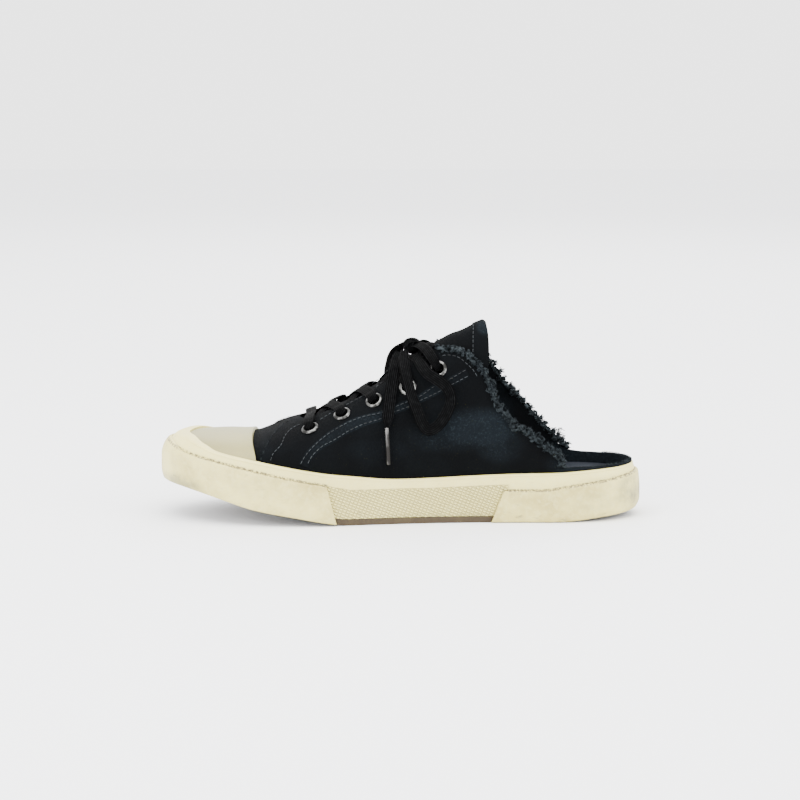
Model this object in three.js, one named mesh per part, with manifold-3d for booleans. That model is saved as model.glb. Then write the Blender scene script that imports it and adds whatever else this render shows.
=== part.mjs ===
// A left canvas sneaker cut down to a mule: rubber sole and foxing, hollow canvas upper, tongue and lace.
// Millimetres, +Z up. The toe points to -X, the lateral side faces -Y, the floor is Z = 0.
import * as THREE from "three";
import { mergeVertices } from "three/addons/utils/BufferGeometryUtils.js";
import Module from "manifold-3d";

const wasm = await Module();
wasm.setup();

// Driving dimensions of the last and the sole.
const LENGTH = 300;
const BALL_WIDTH = 105;
const HEEL_WIDTH = 74;
const TOE_SPRING = 22.5;
const HEEL_LIFT = 4;
const RIM_AT_TOE = 51.2;
const RIM_AT_WAIST = 28;
const RIM_AT_HEEL = 33.5;
const TOE_CREST = 50;
const INSTEP_CREST = 124.5;

// Thicknesses and clearances.
const GAP = 0.3;
const OUTSOLE_THICKNESS = 4;
const MIDSOLE_AT_BALL = 8;
const MIDSOLE_AT_HEEL = 19.5;
const INSOLE_THICKNESS = 4;
const FOXING_THICKNESS = 3.5;
const BUMPER_THICKNESS = 1.7;
const UPPER_WALL = 2;
const QUARTER_STEP = 0.8;
const CAP_THICKNESS = 1.6;
const TONGUE_CLEARANCE = 0.5;
const TONGUE_THICKNESS = 2.2;
const HEM_STEP = 0.7;
const HEM_WIDTH = 10;
const BEAD_PROUD = 0.5;
const BEAD_HEIGHT = 1.6;

const BEAD_FILLET = 0.2;
const INSOLE_ROUND = 1;

// Tread grooves across the outsole, under the ball and the heel. span is a share of BALL_WIDTH.
const GROOVE_WIDTH = 2.4;
const GROOVE_DEPTH = 1.4;
const GROOVE_PITCH = 11;
const TREAD_ZONES = [
  { from: 0.1267, to: 0.4267, span: 0.629 },
  { from: 0.74, to: 0.8933, span: 0.457 },
];

// Eyelets and lace.
const EYELET_FLANGE = 11;
const EYELET_BORE = 6.3;
const EYELET_BARREL = 7.4;
const FLANGE_HEIGHT = 0.9;
const EYELET_FACETS = 10;
const LACE_WIDTH = 7.2;
const LACE_THICKNESS = 1.3;
const KNOT_SIZE = { x: 9.6, y: 13.5, z: 8 };
const AGLET_LENGTH = 21.5;
const AGLET_DIAMETER = 3;
const FRAY_WIDTH = 4;
const FRAY_THICKNESS = 2.2;
const LACE_LIFT = 0.78;
const FRAY_LIFT = 0.78;
const TUFT_LENGTH = 4.5;
const TUFT_WIDTH = 1.6;

// How finely the pieces are faceted.
const SIDE_POINTS = 25;
const ARCH_POINTS = 12;
const CROWDING = 0.4;
const FINE_STEPS = 400;
const BAR_STEPS = 12;
const CROSSING_STEPS = 8;
const UNDER_STEPS = 4;
const STRAND_STEPS = 6;
const LOOP_STEPS = 16;
const END_STEPS = 8;
const KNOT_FACETS = 10;
const AGLET_FACETS = 10;
const FRAY_STEPS = 14;
const FRAY_FACETS = 5;
const TUFT_FACETS = 4;
const STEP_ALONG = 0.01;
const TINY = 1e-9;
const WELD = 1e-4;

// The plan outline from the toe round the lateral side to the heel, then back along the medial side.
// along is a share of LENGTH from the toe, across a share of the half width at that place.
const PLAN = [
  { along: 0, across: 0.11 },
  { along: 0.01, across: -0.17 },
  { along: 0.04, across: -0.48 },
  { along: 0.093, across: -0.73 },
  { along: 0.167, across: -0.9 },
  { along: 0.25, across: -0.97 },
  { along: 0.333, across: -0.96 },
  { along: 0.417, across: -0.92 },
  { along: 0.5, across: -0.89 },
  { along: 0.583, across: -0.9 },
  { along: 0.667, across: -0.94 },
  { along: 0.75, across: -0.98 },
  { along: 0.833, across: -1 },
  { along: 0.907, across: -0.92 },
  { along: 0.96, across: -0.68 },
  { along: 0.99, across: -0.34 },
  { along: 1, across: 0 },
  { along: 0.99, across: 0.34 },
  { along: 0.96, across: 0.68 },
  { along: 0.907, across: 0.9 },
  { along: 0.833, across: 0.97 },
  { along: 0.75, across: 0.92 },
  { along: 0.667, across: 0.85 },
  { along: 0.583, across: 0.81 },
  { along: 0.5, across: 0.84 },
  { along: 0.417, across: 0.91 },
  { along: 0.333, across: 0.98 },
  { along: 0.25, across: 1.01 },
  { along: 0.167, across: 0.97 },
  { along: 0.093, across: 0.84 },
  { along: 0.04, across: 0.62 },
  { along: 0.01, across: 0.36 },
];
const HEEL_ROW = 16;

// Heights along the sole. spring is a share of TOE_SPRING, lift of HEEL_LIFT; toe, waist and heel weigh the
// three rim heights; lean and rise are the rounding of the rim and tuck that of the lower edge.
const SOLE = [
  { along: 0, spring: 0.97, lift: 0, toe: 1, waist: 0, heel: 0, lean: 12.5, rise: 15, tuck: 1.4 },
  { along: 0.043, spring: 0.94, lift: 0, toe: 1, waist: 0, heel: 0, lean: 9, rise: 13, tuck: 1.8 },
  { along: 0.083, spring: 0.845, lift: 0, toe: 0.89, waist: 0.11, heel: 0, lean: 4, rise: 9, tuck: 2.5 },
  { along: 0.123, spring: 0.73, lift: 0, toe: 0.73, waist: 0.27, heel: 0, lean: 2.2, rise: 7, tuck: 2 },
  { along: 0.207, spring: 0.43, lift: 0, toe: 0.53, waist: 0.47, heel: 0, lean: 1.2, rise: 6, tuck: 1.4 },
  { along: 0.295, spring: 0.22, lift: 0, toe: 0.32, waist: 0.68, heel: 0, lean: 0.8, rise: 6, tuck: 1 },
  { along: 0.355, spring: 0.07, lift: 0, toe: 0.19, waist: 0.81, heel: 0, lean: 0.6, rise: 6, tuck: 0.8 },
  { along: 0.4, spring: 0, lift: 0, toe: 0.12, waist: 0.88, heel: 0, lean: 0.6, rise: 6, tuck: 0.8 },
  { along: 0.5, spring: 0, lift: 0, toe: 0, waist: 1, heel: 0, lean: 0.6, rise: 6, tuck: 0.8 },
  { along: 0.707, spring: 0, lift: 0, toe: 0, waist: 0.64, heel: 0.36, lean: 1, rise: 8, tuck: 1.2 },
  { along: 0.835, spring: 0, lift: 0, toe: 0, waist: 0.45, heel: 0.55, lean: 2, rise: 12, tuck: 2 },
  { along: 0.917, spring: 0, lift: 0.5, toe: 0, waist: 0.16, heel: 0.84, lean: 3.2, rise: 16, tuck: 3.5 },
  { along: 1, spring: 0, lift: 1, toe: 0, waist: 0, heel: 1, lean: 4, rise: 18, tuck: 2.8 },
];
const TUCK_HEIGHT = 7;

// The form of the upper. toe and instep weigh the two crest heights, shoulder is the share of the crest
// height where the side wall starts to bend in, side and top say how square the arch is.
const FORM = [
  { along: 0, toe: 0.86, instep: 0, shoulder: 0.92, side: 0.85, top: 0.7 },
  { along: 0.02, toe: 0.9, instep: 0, shoulder: 0.89, side: 0.85, top: 0.7 },
  { along: 0.033, toe: 0.935, instep: 0, shoulder: 0.86, side: 0.85, top: 0.7 },
  { along: 0.05, toe: 0.965, instep: 0, shoulder: 0.83, side: 0.85, top: 0.7 },
  { along: 0.07, toe: 0.985, instep: 0, shoulder: 0.81, side: 0.85, top: 0.72 },
  { along: 0.13, toe: 1, instep: 0, shoulder: 0.77, side: 0.85, top: 0.75 },
  { along: 0.19, toe: 1.01, instep: 0, shoulder: 0.68, side: 0.88, top: 0.78 },
  { along: 0.233, toe: 0.94, instep: 0.065, shoulder: 0.6, side: 0.92, top: 0.85 },
  { along: 0.27, toe: 0.85, instep: 0.134, shoulder: 0.56, side: 0.96, top: 0.9 },
  { along: 0.312, toe: 0.7, instep: 0.222, shoulder: 0.53, side: 1, top: 0.9 },
  { along: 0.345, toe: 0.62, instep: 0.29, shoulder: 0.48, side: 1, top: 0.85 },
  { along: 0.395, toe: 0.5, instep: 0.393, shoulder: 0.42, side: 1, top: 0.82 },
  { along: 0.445, toe: 0.38, instep: 0.506, shoulder: 0.37, side: 1, top: 0.8 },
  { along: 0.493, toe: 0.25, instep: 0.64, shoulder: 0.34, side: 1, top: 0.8 },
  { along: 0.557, toe: 0.1, instep: 0.82, shoulder: 0.3, side: 1, top: 0.8 },
  { along: 0.595, toe: 0.05, instep: 0.9, shoulder: 0.29, side: 1, top: 0.8 },
  { along: 0.633, toe: 0, instep: 0.96, shoulder: 0.29, side: 1, top: 0.8 },
  { along: 0.67, toe: 0, instep: 1, shoulder: 0.3, side: 0.95, top: 0.8 },
  { along: 0.72, toe: 0, instep: 1, shoulder: 0.31, side: 0.9, top: 0.75 },
  { along: 0.8, toe: 0, instep: 0.92, shoulder: 0.35, side: 0.85, top: 0.7 },
  { along: 0.9, toe: 0, instep: 0.8, shoulder: 0.4, side: 0.8, top: 0.65 },
  { along: 1, toe: 0, instep: 0.7, shoulder: 0.45, side: 0.8, top: 0.6 },
];

// Side-view outlines as shares of LENGTH from the toe and of INSTEP_CREST from the floor.
const COLLAR = [
  { along: 0.576, lateral: 0.845, medial: 0.845 },
  { along: 0.628, lateral: 0.836, medial: 0.845 },
  { along: 0.643, lateral: 0.797, medial: 0.822 },
  { along: 0.662, lateral: 0.752, medial: 0.795 },
  { along: 0.671, lateral: 0.722, medial: 0.785 },
  { along: 0.681, lateral: 0.653, medial: 0.755 },
  { along: 0.7, lateral: 0.565, medial: 0.68 },
  { along: 0.722, lateral: 0.502, medial: 0.608 },
  { along: 0.752, lateral: 0.44, medial: 0.535 },
  { along: 0.779, lateral: 0.392, medial: 0.457 },
  { along: 0.804, lateral: 0.35, medial: 0.393 },
  { along: 0.825, lateral: 0.3, medial: 0.345 },
  { along: 0.835, lateral: 0.273, medial: 0.312 },
  { along: 0.855, lateral: 0.274, medial: 0.283 },
  { along: 1.05, lateral: 0.283, medial: 0.283 },
];
const QUARTER_FRONT = [
  { along: 0.21, height: 0.12 },
  { along: 0.214, height: 0.325 },
  { along: 0.226, height: 0.39 },
  { along: 0.239, height: 0.435 },
  { along: 0.254, height: 0.463 },
  { along: 0.28, height: 0.495 },
  { along: 0.298, height: 0.56 },
];
const CAP_REAR = [
  { along: 0.206, height: 0.28 },
  { along: 0.204, height: 0.34 },
  { along: 0.196, height: 0.395 },
  { along: 0.191, height: 0.44 },
  { along: 0.19, height: 0.5 },
];
const TONGUE_SIDE = [
  { along: 0.255, height: 0.34 },
  { along: 0.255, height: 0.6 },
  { along: 0.6, height: 1.1 },
  { along: 0.655, height: 1.1 },
  { along: 0.668, height: 0.985 },
  { along: 0.6765, height: 0.967 },
  { along: 0.6805, height: 0.93 },
  { along: 0.682, height: 0.8 },
  { along: 0.676, height: 0.71 },
  { along: 0.655, height: 0.67 },
  { along: 0.5, height: 0.5 },
  { along: 0.38, height: 0.43 },
];
const EYELETS = [
  { along: 0.315, across: 0.635 },
  { along: 0.381, across: 0.6 },
  { along: 0.447, across: 0.62 },
  { along: 0.516, across: 0.7 },
  { along: 0.578, across: 0.69 },
];
// The throat slot, seen from above: half its width as a share of the shoe's half width at that place.
const THROAT = [
  { along: 0.291, half: 0.028 },
  { along: 0.296, half: 0.141 },
  { along: 0.31, half: 0.233 },
  { along: 0.335, half: 0.269 },
  { along: 0.45, half: 0.301 },
  { along: 0.6, half: 0.384 },
  { along: 0.7, half: 0.46 },
];
const THROAT_SHIFT = -1;

const BUMPER_SKIN = BUMPER_THICKNESS + GAP;
const FORM_INSET = BUMPER_SKIN + FOXING_THICKNESS + GAP;

function stationX(along) {
  return (along - 0.5) * LENGTH;
}

function alongOf(x) {
  return x / LENGTH + 0.5;
}

// Reads a column of a table at a place along the shoe, smoothly between the rows.
function read(table, column, along) {
  const last = table.length - 1;
  let row = 0;
  while (row < last - 1 && along > table[row + 1].along) row++;
  const a = table[row];
  const b = table[row + 1];
  const before = table[Math.max(row - 1, 0)];
  const after = table[Math.min(row + 2, last)];
  const span = b.along - a.along;
  const t = THREE.MathUtils.clamp((along - a.along) / span, 0, 1);
  const slopeA = ((b[column] - before[column]) / (b.along - before.along)) * span;
  const slopeB = ((after[column] - a[column]) / (after.along - a.along)) * span;
  const t2 = t * t;
  const t3 = t2 * t;
  return (
    (2 * t3 - 3 * t2 + 1) * a[column] +
    (t3 - 2 * t2 + t) * slopeA +
    (3 * t2 - 2 * t3) * b[column] +
    (t3 - t2) * slopeB
  );
}

// Where the ball's width has passed over into the heel's, and the midsole's thickness likewise.
const WIDTH_BLEND = { from: 0.3, to: 0.8 };
const WEDGE_BLEND = { from: 0.3, to: 0.75 };

function halfWidth(along) {
  const blend = THREE.MathUtils.smoothstep(along, WIDTH_BLEND.from, WIDTH_BLEND.to);
  return THREE.MathUtils.lerp(BALL_WIDTH, HEEL_WIDTH, blend) / 2;
}

const planCurve = new THREE.CatmullRomCurve3(
  PLAN.map((row) => new THREE.Vector3(stationX(row.along), row.across * halfWidth(row.along), 0)),
  true,
  "centripetal",
);

// The plan ring: toe tip, SIDE_POINTS steps down the lateral side to the heel tip, and as many back,
// closer together at the round ends.
// Point i and point 2 * SIDE_POINTS - i face each other across the shoe.
const ring = makeRing();

function makeRing() {
  const heelAt = HEEL_ROW / PLAN.length;
  const sideOf = (from, to) => {
    const points = [];
    for (let k = 0; k <= FINE_STEPS; k++) {
      const at = from + ((to - from) * k) / FINE_STEPS;
      points.push(planCurve.getPoint(at % 1));
    }
    const run = [0];
    for (let k = 1; k <= FINE_STEPS; k++) run.push(run[k - 1] + points[k].distanceTo(points[k - 1]));
    const picked = [];
    for (let s = 0; s < SIDE_POINTS; s++) {
      const share = s / SIDE_POINTS;
      const goal = run[FINE_STEPS] * (share - (CROWDING * Math.sin(2 * Math.PI * share)) / (2 * Math.PI));
      const k = Math.max(1, run.findIndex((r) => r >= goal));
      const t = (goal - run[k - 1]) / (run[k] - run[k - 1]);
      picked.push(points[k - 1].clone().lerp(points[k], t));
    }
    return picked;
  };
  const points = [...sideOf(0, heelAt), ...sideOf(heelAt, 1)];
  const count = points.length;
  return points.map((point, i) => {
    const tangent = points[(i + 1) % count].clone().sub(points[(i + count - 1) % count]).normalize();
    const facing = points[(count - i) % count];
    const inward = new THREE.Vector3(-tangent.y, tangent.x, 0);
    return { point, inward, along: alongOf((point.x + facing.x) / 2) };
  });
}

function ringPoint(i, inset, z) {
  const at = ring[(i + ring.length) % ring.length];
  return new THREE.Vector3(at.point.x + at.inward.x * inset, at.point.y + at.inward.y * inset, z);
}

function soleBottom(along) {
  return Math.max(0, read(SOLE, "spring", along) * TOE_SPRING + read(SOLE, "lift", along) * HEEL_LIFT);
}

function rim(along) {
  return (
    read(SOLE, "toe", along) * RIM_AT_TOE +
    read(SOLE, "waist", along) * RIM_AT_WAIST +
    read(SOLE, "heel", along) * RIM_AT_HEEL
  );
}

// How far the foxing's outer face lies inside the plan outline at a height.
function skin(along, z) {
  const bottom = soleBottom(along);
  const rise = read(SOLE, "rise", along);
  const low = THREE.MathUtils.clamp((z - bottom) / TUCK_HEIGHT, 0, 1);
  const high = THREE.MathUtils.clamp((z - rim(along) + rise) / rise, 0, 1);
  const tucked = read(SOLE, "tuck", along) * (1 - Math.sin((low * Math.PI) / 2));
  const leaned = read(SOLE, "lean", along) * (1 - Math.sqrt(1 - high * high));
  return BUMPER_SKIN + tucked + leaned;
}

function feather(along) {
  const blend = THREE.MathUtils.smoothstep(along, WEDGE_BLEND.from, WEDGE_BLEND.to);
  const midsole = THREE.MathUtils.lerp(MIDSOLE_AT_BALL, MIDSOLE_AT_HEEL, blend);
  const flat = soleBottom(along) - read(SOLE, "lift", along) * HEEL_LIFT;
  return flat + OUTSOLE_THICKNESS + GAP + midsole;
}

function crest(along) {
  return read(FORM, "toe", along) * TOE_CREST + read(FORM, "instep", along) * INSTEP_CREST;
}

// A closed solid from a BufferGeometry.
function toSolid(geometry) {
  geometry.deleteAttribute("normal");
  geometry.deleteAttribute("uv");
  const merged = mergeVertices(geometry, WELD);
  return new wasm.Manifold(
    new wasm.Mesh({
      numProp: 3,
      vertProperties: new Float32Array(merged.attributes.position.array),
      triVerts: new Uint32Array(merged.index.array),
    }),
  );
}

function toGeometry(solid) {
  const mesh = solid.getMesh();
  const geometry = new THREE.BufferGeometry();
  geometry.setAttribute("position", new THREE.BufferAttribute(mesh.vertProperties, 3));
  geometry.setIndex(new THREE.BufferAttribute(mesh.triVerts, 1));
  geometry.computeVertexNormals();
  return geometry;
}

function largest(solid) {
  return solid.decompose().reduce((best, body) => (body.volume() > best.volume() ? body : best));
}

// Joins sections of equally many points into a skin; each section is a closed polygon.
// Closed runs the last section into the first, otherwise both ends are capped by a fan.
function loft(sections, closed) {
  const size = sections[0].length;
  const points = sections.flat();
  const index = [];
  const quads = closed ? sections.length : sections.length - 1;
  for (let s = 0; s < quads; s++) {
    const next = (s + 1) % sections.length;
    for (let k = 0; k < size; k++) {
      const a = s * size + k;
      const b = s * size + ((k + 1) % size);
      const c = next * size + ((k + 1) % size);
      const d = next * size + k;
      index.push(a, b, c, a, c, d);
    }
  }
  if (!closed) {
    for (const [s, turn] of [[0, 1], [sections.length - 1, 0]]) {
      const middle = new THREE.Vector3();
      sections[s].forEach((point) => middle.addScaledVector(point, 1 / size));
      points.push(middle);
      const hub = points.length - 1;
      for (let k = 0; k < size; k++) {
        const a = s * size + k;
        const b = s * size + ((k + 1) % size);
        if (turn) index.push(hub, b, a);
        else index.push(hub, a, b);
      }
    }
  }
  return outwards(points, index);
}

// Turns the faces round when they point inwards.
function outwards(points, index) {
  const geometry = new THREE.BufferGeometry().setFromPoints(points);
  geometry.setIndex(index);
  const solid = toSolid(geometry);
  if (solid.volume() > 0) return solid;
  for (let i = 0; i < index.length; i += 3) [index[i + 1], index[i + 2]] = [index[i + 2], index[i + 1]];
  const turned = new THREE.BufferGeometry().setFromPoints(points);
  turned.setIndex(index);
  return toSolid(turned);
}

// Sweeps a profile of [inset, height] pairs round the whole plan ring.
function ringSweep(profileAt) {
  return loft(
    ring.map((at, i) => profileAt(at.along).map(([inset, z]) => ringPoint(i, inset, z))),
    true,
  );
}

// A plate of the plan's shape from stacked levels of [inset, height], ruled straight across the shoe.
function plate(levelsAt) {
  const count = ring.length;
  const levels = ring.map((at, i) => levelsAt(at.along).map(([inset, z]) => ringPoint(i, inset, z)));
  const size = levels[0].length;
  const points = levels.flat();
  const index = [];
  for (let i = 0; i < count; i++) {
    const j = (i + 1) % count;
    for (let k = 0; k < size - 1; k++) {
      const a = i * size + k;
      const b = j * size + k;
      index.push(a, b, b + 1, a, b + 1, a + 1);
    }
  }
  for (let i = 0; i < count / 2; i++) {
    const rowA = [i, (count - i) % count];
    const rowB = [i + 1, count - i - 1];
    for (const [k, turn] of [[0, 0], [size - 1, 1]]) {
      const quad = [rowA[0], rowB[0], rowB[1], rowA[1]].map((n) => n * size + k);
      for (const [a, b, c] of [[0, 1, 2], [0, 2, 3]]) {
        if (quad[a] === quad[b] || quad[b] === quad[c] || quad[a] === quad[c]) continue;
        if (turn) index.push(quad[a], quad[b], quad[c]);
        else index.push(quad[a], quad[c], quad[b]);
      }
    }
  }
  return outwards(points, index);
}

// Places on the form: turn runs from 0 at the lateral wall over the crest to 1 at the medial wall.
// At the two tips the walls are kept a little apart, so that no face is without width.
const TIP_NUDGE = 0.6;

function formSection(i, grow, floor) {
  const across = (n) => ringPoint(n, FORM_INSET - grow, 0);
  const tip = i === 0 || i === SIDE_POINTS;
  const nudge = new THREE.Vector3(0, tip ? TIP_NUDGE : 0, 0);
  const lateral = across(i).sub(nudge);
  const medial = across(ring.length - i).add(nudge);
  const along = ring[i].along;
  const points = [new THREE.Vector3(lateral.x, lateral.y, floor(along))];
  for (let k = 0; k <= ARCH_POINTS; k++) {
    points.push(archPoint(lateral, medial, along, k / ARCH_POINTS, grow));
  }
  points.push(new THREE.Vector3(medial.x, medial.y, floor(along)));
  return points;
}

function archPoint(lateral, medial, along, turn, grow) {
  const angle = turn * Math.PI;
  const cosine = Math.cos(angle);
  const sine = Math.abs(Math.sin(angle)) < TINY ? 0 : Math.sin(angle);
  const swing = Math.sign(cosine) * Math.abs(cosine) ** read(FORM, "side", along);
  const lift = sine ** read(FORM, "top", along);
  const top = crest(along) + grow;
  const shoulder = read(FORM, "shoulder", along) * crest(along);
  const point = lateral.clone().add(medial).multiplyScalar(0.5);
  point.addScaledVector(lateral.clone().sub(medial), swing / 2);
  point.z = shoulder + (top - shoulder) * lift;
  return point;
}

function form(grow, floor) {
  const sections = [];
  for (let i = 0; i <= SIDE_POINTS; i++) sections.push(formSection(i, grow, floor));
  return loft(sections, false);
}

// A point on the form at a place along the shoe, a sideways share of its half width and a height over it.
function onForm(along, across, over) {
  const point = formPoint(along, across);
  const sideways = formPoint(along, across + STEP_ALONG).sub(formPoint(along, across - STEP_ALONG));
  const lengthways = formPoint(along + STEP_ALONG, across).sub(formPoint(along - STEP_ALONG, across));
  const normal = lengthways.cross(sideways).normalize();
  if (normal.z < 0) normal.negate();
  return { point: point.addScaledVector(normal, over), normal };
}

function formPoint(along, across) {
  const x = stationX(along);
  const share = Math.min(Math.abs(across), 1) ** (1 / read(FORM, "side", along));
  const turn = Math.acos(share * Math.sign(-across)) / Math.PI;
  let before = stationPoint(0, turn);
  for (let i = 1; i <= SIDE_POINTS; i++) {
    const after = stationPoint(i, turn);
    if (after.x >= x) return before.lerp(after, (x - before.x) / (after.x - before.x));
    before = after;
  }
  return before;
}

function stationPoint(i, turn) {
  const lateral = ringPoint(i, FORM_INSET, 0);
  const medial = ringPoint(ring.length - i, FORM_INSET, 0);
  return archPoint(lateral, medial, ring[i].along, turn, 0);
}

// Blocks cut straight through the shoe, from a side-view outline or one seen from above.
const BLOCK_DEPTH = 200;

function sideBlock(outline) {
  const shape = new THREE.Shape(outline.map(([x, z]) => new THREE.Vector2(x, z)));
  const geometry = new THREE.ExtrudeGeometry(shape, { depth: BLOCK_DEPTH, bevelEnabled: false });
  geometry.rotateX(Math.PI / 2);
  geometry.translate(0, BLOCK_DEPTH / 2, 0);
  return toSolid(geometry);
}

function topBlock(outline, low, high) {
  const shape = new THREE.Shape(outline.map(([x, y]) => new THREE.Vector2(x, y)));
  const geometry = new THREE.ExtrudeGeometry(shape, { depth: high - low, bevelEnabled: false });
  geometry.translate(0, 0, low);
  return toSolid(geometry);
}

function sidePoints(table, shift) {
  return table.map((row) => [stationX(row.along) + shift, row.height * INSTEP_CREST]);
}

const TOP = INSTEP_CREST * 1.4;
const BACK = LENGTH;

function quarterBlock(extra) {
  const front = sidePoints(QUARTER_FRONT, -extra);
  return sideBlock([...front, [front[front.length - 1][0], TOP], [BACK, TOP], [BACK, front[0][1]]]);
}

// The collar: its two sides differ in height, so each has a straight cut of its own. The cuts overlap
// a little in the middle.
function collarCutter() {
  const cut = (side) => {
    const points = COLLAR.map((row) => [stationX(row.along), row[side] * INSTEP_CREST]);
    const [first, last] = [points[0], points[points.length - 1]];
    return sideBlock([...points, [last[0], TOP], [first[0], TOP]]);
  };
  const reach = BLOCK_DEPTH / 2 - GAP;
  return cut("lateral").translate([0, -reach, 0]).add(cut("medial").translate([0, reach, 0]));
}

function throatCutter() {
  const edge = (side) =>
    THROAT.map((row) => [stationX(row.along), THROAT_SHIFT + side * row.half * halfWidth(row.along)]);
  const [lateral, medial] = [edge(-1), edge(1)];
  return topBlock([...lateral, ...medial.reverse()], RIM_AT_HEEL, TOP);
}

// Sole pieces. Levels are shares of a piece's height, closer together where its side is rounder.
const EDGE_LEVELS = [0, 0.3, 0.65, 1];
const BUMPER_LEVELS = [0, 0.15, 0.45, 0.7, 0.87, 1];
const BEAD_SHOULDER = 0.4;

function makeOutsole() {
  let body = plate((along) =>
    EDGE_LEVELS.map((share) => {
      const z = soleBottom(along) + share * OUTSOLE_THICKNESS;
      return [skin(along, z) + GAP, z];
    }),
  );
  for (const zone of TREAD_ZONES) {
    for (let x = stationX(zone.from); x <= stationX(zone.to); x += GROOVE_PITCH) {
      const along = alongOf(x);
      const rise = soleBottom(along + STEP_ALONG) - soleBottom(along - STEP_ALONG);
      const slope = rise / (2 * STEP_ALONG * LENGTH);
      const groove = new THREE.BoxGeometry(GROOVE_WIDTH, zone.span * BALL_WIDTH, 2 * GROOVE_DEPTH);
      groove.rotateY(-Math.atan(slope));
      groove.translate(x, 0, soleBottom(along));
      body = body.subtract(toSolid(groove));
    }
  }
  return body;
}

function makeMidsole() {
  return plate((along) => [
    [FORM_INSET, soleBottom(along) + OUTSOLE_THICKNESS + GAP],
    [FORM_INSET, feather(along) - GAP],
  ]);
}

function makeInsole() {
  const edge = FORM_INSET + UPPER_WALL + GAP;
  return plate((along) => [
    [edge, feather(along)],
    [edge, feather(along) + INSOLE_THICKNESS - INSOLE_ROUND],
    [edge + INSOLE_ROUND, feather(along) + INSOLE_THICKNESS],
  ]);
}

// The foxing before the upper is cut out of it. extra grows it all round for the clearance of its neighbours.
function foxingBlank(extra) {
  return ringSweep((along) => {
    const top = rim(along);
    const bottom = soleBottom(along) + OUTSOLE_THICKNESS + GAP;
    const rise = Math.min(read(SOLE, "rise", along), top - bottom - BEAD_HEIGHT);
    const outer = [bottom, top - rise, top - rise / 2].map((z) => [skin(along, z) - extra, z]);
    const beadFoot = top - BEAD_HEIGHT;
    const beadTop = top - BEAD_SHOULDER * BEAD_HEIGHT;
    const lip = skin(along, top);
    return [
      ...outer,
      [skin(along, beadFoot) - extra, beadFoot],
      [skin(along, beadFoot) - BEAD_PROUD - extra, beadFoot + BEAD_FILLET],
      [skin(along, beadTop) - BEAD_PROUD - extra, beadTop],
      [lip - extra, top + extra],
      [lip + FOXING_THICKNESS + extra, top + extra],
      [lip + FOXING_THICKNESS + extra, top - BEAD_HEIGHT],
      [FORM_INSET + 2 * FOXING_THICKNESS, bottom],
    ];
  });
}

const cutFloor = () => -TOE_SPRING;

function makeFoxing() {
  const quarter = form(QUARTER_STEP + GAP, cutFloor).intersect(quarterBlock(GAP));
  return largest(foxingBlank(0).subtract(form(GAP, cutFloor)).subtract(quarter));
}

// A strip of rubber that lies on the foxing, from just over the floor up to its own top line.
function bumper(topAt, block) {
  const strip = ringSweep((along) => {
    const low = soleBottom(along) + GAP;
    const levels = BUMPER_LEVELS.map((share) => low + share * (topAt(along) - low));
    const outer = levels.map((z) => [skin(along, z) - BUMPER_SKIN, z]);
    const inner = levels.map((z) => [skin(along, z) - GAP, z]);
    return [...outer, ...inner.reverse()];
  });
  return largest(strip.intersect(block));
}

// The bumpers' top lines as shares of the foxing's height, and their slanted ends from the top to the floor.
const TOE_BUMPER_TOP = [
  { along: 0, share: 0.943 },
  { along: 0.023, share: 0.911 },
  { along: 0.057, share: 0.853 },
  { along: 0.123, share: 0.876 },
  { along: 0.35, share: 0.778 },
  { along: 0.45, share: 0.756 },
];
const HEEL_BUMPER_TOP = [
  { along: 0.6, share: 0.699 },
  { along: 0.805, share: 0.668 },
  { along: 0.86, share: 0.738 },
  { along: 0.92, share: 0.781 },
  { along: 1, share: 0.86 },
];
const TOE_BUMPER_END = { top: 0.3493, foot: 0.3707 };
const HEEL_BUMPER_END = { top: 0.7133, foot: 0.6867 };

function bumperTop(table) {
  return (along) => read(table, "share", along) * rim(along);
}

function makeToeBumper() {
  const { top, foot } = TOE_BUMPER_END;
  const corner = [stationX(top), bumperTop(TOE_BUMPER_TOP)(top)];
  const block = sideBlock([[-BACK, 0], [stationX(foot), 0], corner, [corner[0], TOP], [-BACK, TOP]]);
  return bumper(bumperTop(TOE_BUMPER_TOP), block);
}

function makeHeelBumper() {
  const { top, foot } = HEEL_BUMPER_END;
  const corner = [stationX(top), bumperTop(HEEL_BUMPER_TOP)(top)];
  const block = sideBlock([[BACK, 0], [BACK, TOP], [corner[0], TOP], corner, [stationX(foot), 0]]);
  return bumper(bumperTop(HEEL_BUMPER_TOP), block);
}

// The upper: two forms of the last, a wall apart, with the quarters as a step on the vamp.
const HOLE_LENGTH = 6 * UPPER_WALL;
const UP = new THREE.Vector3(0, 1, 0);
const collar = collarCutter();
const throat = throatCutter();

function makeUpper() {
  let body = form(0, feather);
  body = body.add(form(QUARTER_STEP, feather).intersect(quarterBlock(0)));
  body = body.subtract(form(-UPPER_WALL, cutFloor));
  body = body.subtract(collar).subtract(throat);
  for (const side of [-1, 1]) {
    for (const row of EYELETS) {
      const hole = new THREE.CylinderGeometry(
        EYELET_BARREL / 2 + GAP,
        EYELET_BARREL / 2 + GAP,
        HOLE_LENGTH,
        EYELET_FACETS,
      );
      const place = onForm(row.along, side * row.across, 0);
      hole.applyQuaternion(new THREE.Quaternion().setFromUnitVectors(UP, place.normal));
      hole.translate(place.point.x, place.point.y, place.point.z);
      body = body.subtract(toSolid(hole));
    }
  }
  return largest(body);
}

function makeToeCap() {
  const rear = sidePoints(CAP_REAR, 0);
  const block = sideBlock([
    [-BACK, rear[0][1]],
    ...rear,
    [rear[rear.length - 1][0], TOP],
    [-BACK, TOP],
  ]);
  const shell = form(GAP + CAP_THICKNESS, cutFloor).subtract(form(GAP, cutFloor));
  return largest(shell.intersect(block).subtract(foxingBlank(GAP)));
}

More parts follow.
